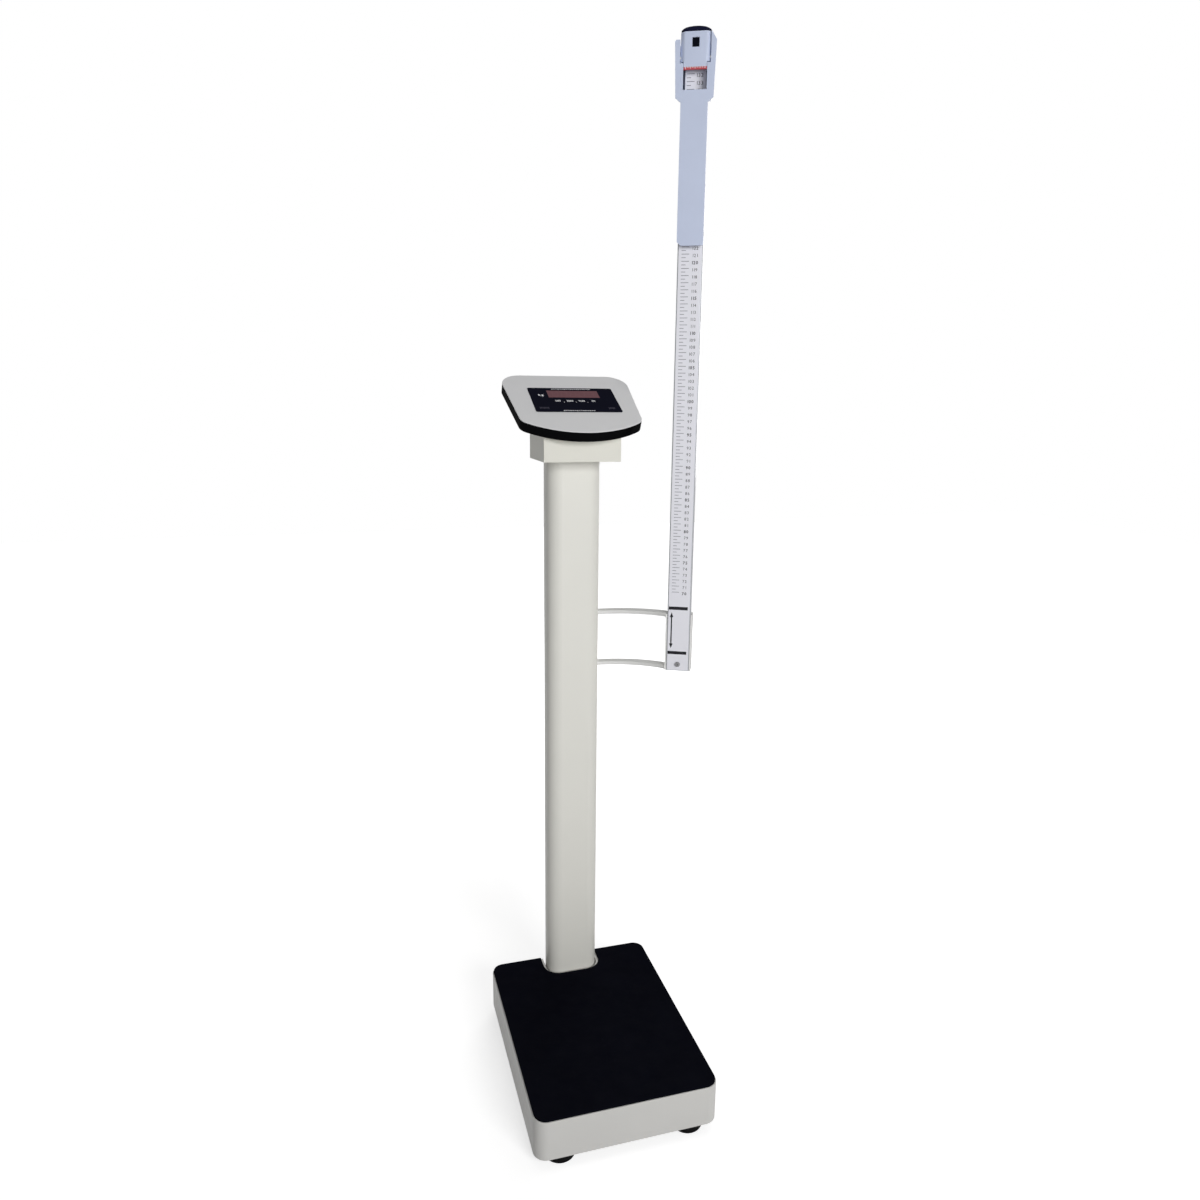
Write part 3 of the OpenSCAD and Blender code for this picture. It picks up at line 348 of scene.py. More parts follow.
# %% [markdown]
# One function puts a finish together, because most differ only in their values: the tone,
# then worn edges, then dust feed the colour, and grain or brushing feeds bump and roughness.
# What is the same all over, such as metalness or a lacquer's coat, is set on the shader.

# %% One finish from its values


def finish(name, color, roughness, grain=0.6, bump=0.1, tone=0.04, patch=60, spread=0.12, brushed=None,
           worn=None, dust=0.0, specular=0.5, coat=(0.0, 0.03), **shader_values):
    """A material from the shared effects.

    Colours are 0 to 255, grain and patch are in mm, worn is (colour, width in mm, amount), and
    coat is (weight, roughness). brushed is how far the grain is stretched along each axis.
    """
    material = bpy.data.materials.new(name)
    material.use_nodes = True
    tree = material.node_tree
    shader = tree.nodes["Principled BSDF"]
    shader_values.update(Specular_IOR_Level=specular, Coat_Weight=coat[0], Coat_Roughness=coat[1])
    for key, value in shader_values.items():
        shader.inputs[key.replace("_", " ")].default_value = value
    kind = "ShaderNodeGroup"
    tint = node_in(tree, kind, node_tree=UNEVEN_TONE, Color=srgb(*color), Amount=tone, Patch_Size=patch * MM)
    if worn:
        tint = node_in(tree, kind, {"Color": tint["Color"]}, node_tree=EDGE_WEAR, Worn_Color=srgb(*worn[0]),
                       Width=worn[1] * MM, Amount=worn[2])
    if dust:
        tint = node_in(tree, kind, {"Color": tint["Color"]}, node_tree=SETTLED_DUST, Amount=dust)
    if brushed:
        values = {"node_tree": BRUSHING, "Stretch": brushed, "Line_Size": grain * MM}
    else:
        values = {"node_tree": FINE_GRAIN, "Grain_Size": grain * MM}
    surface = node_in(tree, kind, **values, Roughness=roughness, Spread=spread)
    bumps = node_in(tree, "ShaderNodeBump", {"Height": surface["Height"]}, Strength=bump, Distance=grain * MM)
    for outputs, key, end in ((tint, "Color", "Base Color"), (surface, "Roughness", "Roughness"),
                              (bumps, "Normal", "Normal")):
        tree.links.new(outputs[key], shader.inputs[end])
    return material


# %% [markdown]
# The column, head box and cover are a light powder coat with a faint orange-peel, each in the
# tone that the photograph shows; the cover's coat is a darker copy, which is painted shade for
# the light falling off low down. The rubber mat is nearly black, with a fine pebble. The rod is
# satin aluminium, brushed along its length, and the arms are paler and duller. The folding head
# is a bluish grey. What shares its grain, such as the paints and the inks, shares those values.

# %% The finishes by slot, then those that pieces of this script use
ALONG_Z = (1, 1, 0.02)
ALONG_X = (0.02, 1, 1)
BARE_STEEL = (170, 168, 165)
PAINT = {"grain": 1.1, "bump": 0.1, "patch": 120}
PRINT = {"grain": 0.4, "bump": 0.05}
WINDOW = {"grain": 0.4, "bump": 0.03, "tone": 0.12, "patch": 10, "IOR": 1.1}

FINISH = {
    "cover_paint": finish(
        "powder_coat", (228, 227, 220), 0.42, **PAINT, tone=0.025, worn=((205, 200, 188), 1.2, 0.5),
        dust=0.05, specular=0.3),
    "frame_paint": finish(
        "frame_paint", (52, 52, 54), 0.5, grain=1.5, bump=0.2, tone=0.12, worn=(BARE_STEEL, 1, 0.6),
        dust=0.15),
    "mat_rubber": finish(
        "mat_rubber", (12, 13, 21), 0.85, grain=0.7, bump=0.5, tone=0.25, patch=50, spread=0.15,
        dust=0.006, specular=0.0),
    "foot_rubber": finish(
        "foot_rubber", (12, 12, 13), 0.8, grain=0.8, bump=0.3, tone=0.2, dust=0.02, IOR=1.15),
    "fastener_steel": finish(
        "zinc_steel", (190, 190, 188), 0.32, grain=0.5, bump=0.08, tone=0.15, patch=4, Metallic=1.0),
    "cell_aluminium": finish(
        "milled_aluminium", (205, 206, 208), 0.35, grain=0.3, bump=0.15, brushed=(1, 0.03, 1),
        Metallic=1.0),
    "cable_jacket": finish("cable_jacket", (38, 38, 40), 0.55, grain=0.5, bump=0.1),
    "battery_case": finish("battery_case", (44, 45, 48), 0.5, grain=0.8, bump=0.25),
    "tray_plastic": finish("tray_plastic", (214, 213, 208), 0.5, grain=0.6, bump=0.2),
    "trim_black": finish(
        "trim_black", (7, 7, 9), 0.2, grain=6, bump=0.12, tone=0.3, spread=0.25, specular=0.0,
        coat=(0.035, 0.08)),
    "tray_plate": finish(
        "tray_plate", (221, 221, 222), 0.36, grain=0.6, bump=0.06, tone=0.03, patch=50,
        worn=((225, 225, 225), 0.6, 0.6), Metallic=0.0, coat=(0.25, 0.25)),
    "panel_print": finish(
        "panel_film", (14, 15, 30), 0.36, grain=0.4, bump=0.1, tone=0.15, patch=20, spread=0.1,
        specular=0.0, coat=(0.03, 0.25)),
    "window_tint": finish("window_tint", (118, 78, 84), 0.25, **WINDOW),
    "led_epoxy": finish("led_epoxy", (70, 18, 18), 0.3),
    "board_green": finish("board_green", (28, 92, 52), 0.35, grain=1, bump=0.1, tone=0.2, patch=10),
    "standoff_brass": finish("turned_brass", (205, 172, 105), 0.3, Metallic=1.0),
    "switch_black": finish(
        "moulded_black", (12, 14, 22), 0.42, grain=0.5, bump=0.2, tone=0.15,
        worn=((50, 52, 60), 0.5, 0.4), specular=0.0, coat=(0.03, 0.3)),
    "arm_aluminium": finish(
        "arm_aluminium", (234, 234, 232), 0.55, grain=0.4, bump=0.12, tone=0.05, brushed=ALONG_X,
        worn=((240, 240, 240), 0.8, 0.3), Metallic=0.0, specular=0.0),
    "rod_aluminium": finish(
        "rod_aluminium", (160, 162, 167), 0.32, grain=0.35, bump=0.1, tone=0.05, brushed=ALONG_Z,
        Metallic=0.3, specular=0.3),
    "scale_label": finish(
        "scale_film", (232, 232, 239), 0.38, grain=0.5, bump=0.04, tone=0.02, patch=90, spread=0.08,
        specular=0.3),
    "guide_plastic": finish("guide_plastic", (224, 224, 222), 0.45, grain=0.6, bump=0.12),
    "cap_navy": finish(
        "cap_navy", (12, 14, 40), 0.3, grain=0.6, bump=0.08, tone=0.15, worn=((45, 50, 90), 0.6, 0.4),
        IOR=1.15),
    "slider_grey": finish(
        "slider_satin", (196, 205, 227), 0.42, grain=0.5, bump=0.12, tone=0.035, patch=30,
        worn=((216, 222, 236), 0.6, 0.5), dust=0.02, specular=0.3),
}
INK_BLACK = finish("ink_black", (28, 28, 32), 0.5, **PRINT, tone=0.15, patch=4, specular=0.15)
INK_GREY = finish("ink_grey", (118, 118, 128), 0.5, **PRINT, tone=0.15, patch=4, specular=0.15)
INK_WHITE = finish("ink_white", (246, 246, 248), 0.5, **PRINT, tone=0.1, patch=4)
# The clamp screws take a darker copy of the steel: painted shade, for the shadow around their heads. Their worn
# edges show the steel's own paler tone.
SHADED_CLAMP_STEEL = finish(
    "dull_steel", (132, 132, 134), 0.4, grain=0.4, bump=0.1, tone=0.2, patch=3,
    worn=((190, 190, 190), 0.4, 0.5), Metallic=0.4)
# The platform's cover takes a darker copy of the powder coat: painted shade, for light that falls off towards the
# floor.
SHADED_PLATFORM_PAINT = finish(
    "platform_paint_shaded", (207, 206, 203), 0.45, **PAINT, tone=0.03, worn=((195, 192, 184), 1.2, 0.5),
    dust=0.05, specular=0.25)
HEAD_PAINT = finish(
    "head_paint", (220, 219, 210), 0.42, **PAINT, tone=0.025, worn=((200, 195, 182), 1.2, 0.5),
    dust=0.03, specular=0.25)
INK_DIM = finish("ink_dim", (62, 60, 72), 0.5, **PRINT, tone=0.15, patch=3, IOR=1.1)
INK_RED = finish("ink_red", (178, 64, 74), 0.5, **PRINT, tone=0.15, patch=6)
UNLIT_SEGMENT = finish("unlit_segment", (122, 81, 87), 0.25, **WINDOW)

for node, piece in frame["nodes"].items():
    piece.data.materials.clear()
    piece.data.materials.append(FINISH[SLOT_OF[node]])
print("finishes by slot:", len(FINISH))

# %% [markdown]
# ## Soft edges
# CAD edges are perfectly sharp, and sheet metal, mouldings and bars never are: a real edge
# catches the light in a thin line. A copy of each shown node gets its loose triangles merged
# and its true edges bevelled inwards, so it stays inside the CAD shape. Weighted normals keep
# the flat faces flat. The copy then stands for the node, which is hidden.

# %% A softened copy of a node
HARD_EDGE = math.radians(28)
SHADED_EDGE = math.radians(50)
FLAT_ENOUGH = math.radians(0.8)
SAME_PLACE = 1e-6


def softened(node, name, width, segments=2, chosen=lambda edge: True):
    """A copy of the node with its chosen edges rounded by width, in mm."""
    work = bmesh.new()
    work.from_mesh(frame["nodes"][node].data)
    bmesh.ops.remove_doubles(work, verts=work.verts, dist=SAME_PLACE)
    bmesh.ops.dissolve_limit(work, angle_limit=FLAT_ENOUGH, verts=work.verts, edges=work.edges)
    edges = [e for e in work.edges if e.is_manifold and e.calc_face_angle(0) > HARD_EDGE and chosen(e)]
    bmesh.ops.bevel(work, geom=edges, offset=width * MM, segments=segments, profile=0.5,
                    affect="EDGES", clamp_overlap=True)
    for face in work.faces:
        face.smooth = True
    for edge in work.edges:
        edge.smooth = edge.calc_face_angle(0) < SHADED_EDGE
    mesh = bpy.data.meshes.new(name)
    work.to_mesh(mesh)
    work.free()
    piece = link_piece(name, mesh, SLOT_OF[node])
    even = piece.modifiers.new("even_normals", "WEIGHTED_NORMAL")
    even.keep_sharp = True
    flatten_modifiers(piece)
    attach(piece, BODY_OF[node])
    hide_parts(node)
    return piece


def link_piece(name, mesh, slot, material=None):
    """A new piece with that mesh and a finish: the given material, or else the finish of its slot."""
    piece = new_object(name, mesh)
    mesh.materials.clear()
    mesh.materials.append(material or FINISH[slot])
    return piece


def flatten_modifiers(piece):
    """Turns what the modifiers make into the piece's own mesh."""
    evaluated = piece.evaluated_get(bpy.context.evaluated_depsgraph_get())
    mesh = bpy.data.meshes.new_from_object(evaluated)
    piece.modifiers.clear()
    piece.data = mesh


# %% Platform and column
SKIN = 1.5 * MM
cover_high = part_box("platform_cover")[1]


def on_outer_skin(edge):
    """An edge of the cover's top that isn't on its inner side."""
    return all(v.co.z > cover_high.z - SKIN / 2 for v in edge.verts)


cover = softened("platform_cover", "pressed_cover", 2.2, 3, on_outer_skin)
# A darker copy of the paint on the cover: painted shade low down.
cover.data.materials[0] = SHADED_PLATFORM_PAINT
mat = softened("platform_mat", "rubber_mat", 1.0, 2)
feet = [softened(node, node.replace("foot", "rubber_foot"), 1.2, 2) for node in frame["nodes"]
        if node.startswith(("foot_front", "foot_rear"))]
head_case = softened("head_box", "folded_head_box", 0.7, 2)
head_case.data.materials[0] = HEAD_PAINT
print("platform pieces:", cover.name, mat.name, [foot.name for foot in feet])

# %% Tray, panel and keys
softened("top_plate", "tray_top_plate", 0.5, 2)
trim = softened("edge_trim", "glossy_band", 1.0, 3)
panel = softened("membrane_panel", "printed_panel", 0.2, 2)
window = softened("display_window", "tinted_window", 0.2, 2)
key_nodes = ("unit_key", "zero_key", "tare_key", "power_key")
keys = [softened(node, node + "_pad", 0.35, 2) for node in key_nodes]

# %% Arms, clamp, rods, the folding head, and the fittings at the back
for node, name, width, segments in (
    ("upper_arm", "bowed_upper_arm", 1.2, 2),
    ("lower_arm", "bowed_lower_arm", 1.2, 2),
    ("rod_clamp", "channel_clamp", 0.6, 2),
    ("outer_rod", "outer_tube", 0.35, 1),
    ("rod_cap", "domed_cap", 0.9, 3),
    ("slider_body", "slider_head", 0.7, 2),
    ("latch_button", "latch_pad", 0.5, 2),
    ("measuring_blade", "folding_blade", 0.8, 2),
    ("switch_rocker", "rocker_pad", 0.5, 2),
    ("switch_housing", "switch_bezel", 0.5, 2),
    ("power_inlet", "inlet_ring", 0.4, 2),
):
    softened(node, name, width, segments)

# %% [markdown]
# ## Print on the rod
# The outer rod carries a printed film with a mark every half centimetre, longer at each whole
# one, and a number for each centimetre above the mat. A ruler is a rule made visible, so
# Geometry Nodes lay it out: one line of points, one box on each, and the length chosen by
# counting. The ink is a real layer, a few hundredths of a millimetre thick.

# %% Helpers for Geometry Nodes


def make_tree(name, ints=(), floats=()):
    """An empty geometry tree with named inputs, the material last: (tree, its inputs, its end)."""
    tree = bpy.data.node_groups.new(name, "GeometryNodeTree")
    kinds = {"Geometry": "Geometry", **dict.fromkeys(ints, "Int"), **dict.fromkeys(floats, "Float")}
    kinds["Material"] = "Material"
    for socket_name, kind in kinds.items():
        tree.interface.new_socket(socket_name, in_out="INPUT", socket_type="NodeSocket" + kind)
    tree.interface.new_socket("Geometry", in_out="OUTPUT", socket_type="NodeSocketGeometry")
    return tree, tree.nodes.new("NodeGroupInput").outputs, tree.nodes.new("NodeGroupOutput").inputs


def end_tree(tree, given, result, instances):
    """Closes a tree: the instances are made real and get their material."""
    real = node_in(tree, "GeometryNodeRealizeInstances", {0: instances})[0]
    inked = node_in(tree, "GeometryNodeSetMaterial", {"Geometry": real, "Material": given["Material"]})
    tree.links.new(inked[0], result[0])


def vector_in(tree, *parts):
    """A vector whose three parts are sockets or numbers; gives its output socket."""
    node = tree.nodes.new("ShaderNodeCombineXYZ")
    feed(tree, node.inputs, parts)
    return node.outputs[0]


def row_in(tree, count, offset, thing, scale=None, shift=None):
    """Count copies of a thing in a row, offset apart, each scaled and the row shifted as told."""
    row = node_in(tree, "GeometryNodeMeshLine", {"Count": count, "Offset": offset})[0]
    if shift is not None:
        row = node_in(tree, "GeometryNodeSetPosition", {"Geometry": row, "Offset": shift})[0]
    wires = {"Points": row, "Instance": thing}
    if scale is not None:
        wires["Scale"] = scale
    return node_in(tree, "GeometryNodeInstanceOnPoints", wires)[0]


def grow(name, tree, values, place, body, base=None):
    """A plain piece from a geometry tree: evaluated, freed of its modifier, then put in place."""
    piece = new_object(name, base or bpy.data.meshes.new(name))
    modifier = piece.modifiers.new("grown", "NODES")
    modifier.node_group = tree
    for socket in tree.interface.items_tree:
        if socket.item_type == "SOCKET" and socket.in_out == "INPUT" and socket.name in values:
            modifier[socket.identifier] = values[socket.name]
    flatten_modifiers(piece)
    piece.data.transform(place)
    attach(piece, body)
    return piece


MARK_SIZES = ("Pitch", "Left", "Long", "Short", "Line")


def rule_marks_tree():
    """Marks up a rule: every Every-th one is Long, the others Short, all from the Left side."""
    tree, size, result = make_tree("rule_marks", ("Count", "Every"), MARK_SIZES + ("Depth",))
    index = node_in(tree, "GeometryNodeInputIndex")[0]
    is_short = math_in(tree, "MINIMUM", math_in(tree, "MODULO", index, size["Every"]), 1.0)
    shorter = math_in(tree, "MULTIPLY", is_short, math_in(tree, "SUBTRACT", size["Long"], size["Short"]))
    length = math_in(tree, "SUBTRACT", size["Long"], shorter)
    middle = math_in(tree, "ADD", size["Left"], math_in(tree, "MULTIPLY", length, 0.5))
    shift = vector_in(tree, middle, 0.0, math_in(tree, "MULTIPLY", size["Depth"], 0.5))
    scale = vector_in(tree, length, size["Line"], size["Depth"])
    box = node_in(tree, "GeometryNodeMeshCube")[0]
    marks = row_in(tree, size["Count"], vector_in(tree, 0.0, size["Pitch"], 0.0), box, scale, shift)
    end_tree(tree, size, result, marks)
    return tree


def grow_marks(name, count, every, sizes, ink, place, body):
    """A row of marks as one piece of ink; sizes are pitch, left, long, short and line, in mm."""
    values = {size: value * MM for size, value in zip(MARK_SIZES, sizes)}
    values.update({"Count": count, "Every": every, "Depth": INK, "Material": ink})
    return grow(name, RULE_MARKS, values, place, body)


INK = 0.05 * MM
RULE_MARKS = rule_marks_tree()
print("rule tree has", len(RULE_MARKS.nodes), "nodes")

# %% [markdown]
# The figures come from Blender's own plain font. Each character is made a mesh once, with
# few points on its curves, because a rule repeats its ten digits hundreds of times. A word
# is then a row of such characters, and all the words of one print are one mesh.

# %% Characters and words as thin ink
LETTER_GAP = 0.12
LETTER_MIDDLE = 0.35
SPACE_WIDTH = 0.2
TYPE_JOIN, TYPE_FLAT = 1e-5, math.radians(4)
HALF_CENTIMETRE = 5
PLAIN, BOLD, HEAVY = 0.0, 0.022, 0.05
characters = {}


def character(letter, weight):
    """One character in type size 1: its points, its faces, and how far on the next one starts."""
    if (letter, weight) not in characters:
        curve = bpy.data.curves.new("type", "FONT")
        curve.body = letter
        curve.resolution_u = 2
        curve.extrude = 0.5
        curve.offset = weight
        block = bpy.data.objects.new("type", curve)
        mesh = bpy.data.meshes.new_from_object(block)
        work = bmesh.new()
        work.from_mesh(mesh)
        bmesh.ops.remove_doubles(work, verts=work.verts, dist=TYPE_JOIN)
        bmesh.ops.dissolve_limit(work, angle_limit=TYPE_FLAT, verts=work.verts, edges=work.edges)
        bmesh.ops.triangulate(work, faces=work.faces)
        bmesh.ops.recalc_face_normals(work, faces=work.faces)
        points = [v.co.copy() for v in work.verts]
        faces = [[v.index for v in face.verts] for face in work.faces]
        width = max((p.x for p in points), default=SPACE_WIDTH) + LETTER_GAP
        characters[(letter, weight)] = (points, faces, width)
        work.free()
        bpy.data.objects.remove(block)
        bpy.data.meshes.remove(mesh)
        bpy.data.curves.remove(curve)
    return characters[(letter, weight)]


def ink_piece(name, vertices, faces, body, slot, material):
    """One piece with that mesh, riding on the body."""
    mesh = bpy.data.meshes.new(name)
    mesh.from_pydata(vertices, [], faces)
    piece = link_piece(name, mesh, slot, material)
    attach(piece, body)
    return piece


def print_words(name, words, place, body, slot, material, narrow=1.0):
    """One piece of ink from (text, x, y, type size, weight), each centred on x and y, in mm.

    A value of narrow below 1 squeezes the letters sideways.
    """
    vertices, faces = [], []
    for text, x, y, size, weight in words:
        letters = [character(letter, weight) for letter in text]
        start = x - narrow * size * (sum(width for _, _, width in letters) - LETTER_GAP) / 2
        for points, corners, width in letters:
            first = len(vertices)
            for p in points:
                across = start + p.x * size * narrow
                up = y + (p.y - LETTER_MIDDLE) * size
                vertices.append(place @ Vector((across * MM, up * MM, (p.z + 0.5) * INK)))
            faces += [[first + i for i in corner] for corner in corners]
            start += width * size * narrow
    return ink_piece(name, vertices, faces, body, slot, material)


def print_rule(name, body, behind, low, numbers, marks, figures):
    """Half-centimetre marks from low mm above the mat, and a figure just under each whole one.

    numbers are listed from the lowest mark upwards. marks are left, long and short, and figures
    are how far across and the type size, in mm.
    """
    place = on_rod(0, behind, low)
    across, size = figures
    sizes = (HALF_CENTIMETRE, *marks, RULE_LINE)
    grow_marks(name + "_marks", 2 * len(numbers) - 1, 2, sizes, INK_GREY, place, body)
    words = []
    for n in sorted(numbers):
        height = 2 * HALF_CENTIMETRE * numbers.index(n) - FIGURE_DROP
        words.append((str(n), across, height, size, PLAIN if n % 5 else BOLD))
    return print_words(name + "_numbers", words, place, body, "scale_label", INK_BLACK)


# %% Marks and numbers of the outer rule
FILM_FRONT = -0.3
LOWEST_MARK, HIGHEST_MARK = 70, 130
MARK_LEFT, MARK_LONG, MARK_SHORT = -12.6, 11.4, 6.2
RULE_LINE, FIGURE_DROP = 0.75, 2.0
OUTER_FIGURES = (7.1, 6.4)

outer_marks = (MARK_LEFT, MARK_LONG, MARK_SHORT)
outer_numbers = print_rule("outer_rule", "scale", FILM_FRONT, 10 * LOWEST_MARK,
                           range(LOWEST_MARK, HIGHEST_MARK + 1), outer_marks, OUTER_FIGURES)
print("outer rule:", len(outer_numbers.data.polygons), "faces of figures")

# %% [markdown]
# The inner rod is read where it leaves the outer one, so its numbers grow downwards: the
# further it is pulled out, the higher the number that stands at the outer rod's rim. The same
# functions print it; only the sizes, the place and the order of the numbers change.

# %% Marks and numbers of the inner rule
INNER_FILM_FRONT = 2.7
INNER_TOP_NUMBER, INNER_LOW_NUMBER = 132, 195
INNER_TOP_MARK = 1451
INNER_MARKS = (-12.5, 11, 6)
INNER_FIGURES = (5.6, 7.2)

inner_low = INNER_TOP_MARK - 10 * (INNER_LOW_NUMBER - INNER_TOP_NUMBER)
print_rule("inner_rule", "inner", INNER_FILM_FRONT, inner_low,
           range(INNER_LOW_NUMBER, INNER_TOP_NUMBER - 1, -1), INNER_MARKS, INNER_FIGURES)
print("inner rule: marks from", inner_low, "to", INNER_TOP_MARK, "mm above the mat")

# %% [markdown]
# The foot of the rod has two black bars and a double arrow between them, printed on the same
# film. The bars are the same marks again, only two and thick, so the tree is used once more.
# The arrow is a flat outline given the thickness of ink. Both go where the picture shows them.

# %% Flat outlines as ink
def on_rod_print(point, carrier):
    """Where an image point lies on the rod's print: mm across, and mm above the mat."""
    offset = place_on(point, carrier) - rod_face
    return offset.dot(rod_right) / MM, offset.z / MM


def ink_shape(name, outlines, place, body, slot, material, thickness=INK):
    """One piece from flat outlines, each a list of (x, y) in mm, turning left, with a thickness."""
    vertices, faces = [], []
    for outline in outlines:
        first, count = len(vertices), len(outline)
        for height in (0, thickness):
            vertices += [place @ Vector((x * MM, y * MM, height)) for x, y in outline]
        faces.append([first + i for i in reversed(range(count))])
        faces.append([first + count + i for i in range(count)])
        for i in range(count):
            k = (i + 1) % count
            faces.append([first + i, first + k, first + count + k, first + count + i])
    return ink_piece(name, vertices, faces, body, slot, material)


# %% Bars and double arrow at the rod's foot
film = frame["nodes"]["outer_scale"]
bar_across, upper_bar = on_rod_print("upper_bar", film)
_, lower_bar = on_rod_print("lower_bar", film)
BAR_LONG, BAR_TALL = 30.5, 5.2
bar_sizes = (upper_bar - lower_bar, bar_across - BAR_LONG / 2, BAR_LONG, BAR_LONG, BAR_TALL)
grow_marks("foot_bars", 2, 1, bar_sizes, INK_BLACK, on_rod(0, FILM_FRONT, lower_bar), "scale")

arrow_across, arrow_middle = on_rod_print("double_arrow", film)
ARROW_HALF, ARROW_STEM, ARROW_HEAD, ARROW_HEAD_LONG = 30.0, 1.0, 2.8, 8.0
stem_end = ARROW_HALF - ARROW_HEAD_LONG
half_arrow = [(ARROW_STEM, -stem_end), (ARROW_STEM, stem_end), (ARROW_HEAD, stem_end), (0, ARROW_HALF)]
arrow_outline = half_arrow + [(-x, y) for x, y in reversed(half_arrow[:-1])]
lower_head = [(-ARROW_HEAD, -stem_end), (0, -ARROW_HALF), (ARROW_HEAD, -stem_end)]
double_arrow = ink_shape("double_arrow", [arrow_outline, lower_head],
                         on_rod(arrow_across, FILM_FRONT, arrow_middle), "scale", "scale_label", INK_BLACK)
print("bars at", round(lower_bar, 1), "and", round(upper_bar, 1), "mm, arrow at", round(arrow_across, 1))

# %% [markdown]
# Under the front edge of the slider's block sits a thin red strip with white ticks: the index
# that a height is read against. It is a small bar of its own in the opening of the blade. It
# rides on the slider, so it crosses whichever rule is behind it.

# %% Index strip in the slider's window
STRIP_FRONT = -12.8
STRIP_HALF, STRIP_TALL, STRIP_THICK = 16.2, 3.6, 1.6
STRIP_TOP = 35
slider_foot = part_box("slider_body")[0].z
strip_low = (slider_foot - mat_top) / MM + STRIP_TOP - STRIP_TALL
strip_outline = [(-STRIP_HALF, 0), (STRIP_HALF, 0), (STRIP_HALF, STRIP_TALL), (-STRIP_HALF, STRIP_TALL)]
index_strip = ink_shape("index_strip", [strip_outline], on_rod(0, STRIP_FRONT + STRIP_THICK, strip_low),
                        "slider", "slider_grey", INK_RED, STRIP_THICK * MM)
ALONG = Matrix.Rotation(-math.pi / 2, 4, "Z")
TICKS, TICK_PITCH = 9, 3.4
TICK_LONG, TICK_SHORT, TICK_LINE = 2.2, 1.5, 0.9
tick_sizes = (TICK_PITCH, -STRIP_TALL, TICK_LONG, TICK_SHORT, TICK_LINE)
grow_marks("index_ticks", TICKS, 2, tick_sizes, INK_WHITE,
           on_rod(-(TICKS - 1) * TICK_PITCH / 2, STRIP_FRONT, strip_low) @ ALONG, "slider")
print("index strip from", round(strip_low, 1), "mm")

# %% [markdown]
# ## Print on the panel
# The film on the tray carries white legends. The four keys have a word each, with small
# dashes between, and a unit stands left of the window. A fine row of print runs above the
# window and below the keys, and two dim groups stand low on the left and on the right. What
# can't be read in the photograph is plain dashes here.

# %% Frames on the tray
plate_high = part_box("top_plate")[1]
tray_origin = Vector((0, 0, plate_high.z))
tray_origin.x = (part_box("top_plate")[0].x + plate_high.x) / 2
PLATE_T = 1.5 * MM
tray_origin.y = plate_high.y + PLATE_T * tray_normal.y


def on_tray(x, y, height=0.0):
    """A frame on the tray: mm from the middle, up its slope from the back edge, and above its face."""
    origin = tray_origin + (tray_right * x + tray_up * y + tray_normal * height) * MM
    return axes_matrix(origin, tray_right, tray_up, tray_normal)


def flat_on_tray(place):
    """A place in mm across the tray and up its slope."""
    offset = place - tray_origin
    return offset.dot(tray_right) / MM, offset.dot(tray_up) / MM


def on_tray_print(point, carrier):
    """Where an image point lies on the tray: mm across, and mm up the slope."""
    return flat_on_tray(place_on(point, carrier))


PANEL_FACE = 0.8
first_x, first_y = on_tray_print("first_key_mark", panel)
last_x, last_y = on_tray_print("last_key_mark", panel)
unit_x, unit_y = on_tray_print("unit_mark", panel)
low_x, low_y = on_tray_print("low_dashes", panel)
top_x, top_y = on_tray_print("top_dashes", panel)
print("key marks from", round(first_x, 1), round(first_y, 1), "to", round(last_x, 1), round(last_y, 1))

# %% Words on the keys, and the unit
KEY_TYPE, KEY_NARROW, UNIT_TYPE = 6.6, 0.5, 7.0
BELOW_FACE = 0.5

for pad, word in zip(keys, ("UNIT", "ZERO", "TARE", "ON")):
    lowest = (PANEL_FACE - BELOW_FACE) * MM
    corners = [v.co for v in pad.data.vertices if (v.co - tray_origin).dot(tray_normal) > lowest]
    across, upward = zip(*[flat_on_tray(corner) for corner in corners])
    key_x, key_y = (min(across) + max(across)) / 2, (min(upward) + max(upward)) / 2
    body = pad.name.replace("_pad", "")
    place = on_tray(key_x, key_y, PANEL_FACE)
    print_words(body + "_word", [(word, 0, 0, KEY_TYPE, HEAVY)],
                                 place, body, "panel_print", INK_WHITE, KEY_NARROW)
    print(word, "at", round(key_x, 1), round(key_y, 1))

unit_word = print_words("unit_word", [("kg", 0, 0, UNIT_TYPE, HEAVY)],
                        on_tray(unit_x, unit_y, PANEL_FACE), "scale", "panel_print", INK_WHITE)

# %% Dashes between the keys, above the window and below the keys
DIM_INSET, DIM_ABOVE = 15.0, 8.0
SHORTER = 0.8

film_across = [flat_on_tray(v.co)[0] for v in panel.data.vertices]
film_left, film_right = min(film_across), max(film_across)
dim_y = low_y + DIM_ABOVE
DASH_ROWS = {
    "key_dashes": (3, 19.0, 1.6, 1.2, (first_x + last_x) / 2, first_y, INK_WHITE),
    "top_dashes": (19, 3.4, 2.6, 1.7, top_x, top_y, INK_WHITE),
    "low_dashes": (15, 3.4, 2.6, 1.7, low_x, low_y, INK_WHITE),
    "left_small_print": (7, 2.2, 1.5, 6.0, film_left + DIM_INSET, dim_y, INK_DIM),
    "right_small_print": (5, 2.2, 1.5, 6.0, film_right - DIM_INSET, dim_y, INK_DIM),
}
for name, (count, pitch, long, line, x, y, ink) in DASH_ROWS.items():
    place = on_tray(x - (count - 1) * pitch / 2, y, PANEL_FACE) @ ALONG
    sizes = (pitch, -line / 2, line, line * SHORTER, long)
    grow_marks(name, count, 3, sizes, ink, place, "scale")

# %% [markdown]
# The digits behind the tinted window are off, and show only as slightly paler figures of
# eight. They are a thin layer on the window's face here. One digit is seven bars with mitred
# ends, and Geometry Nodes repeat it five times, as equal modules stand in a row.

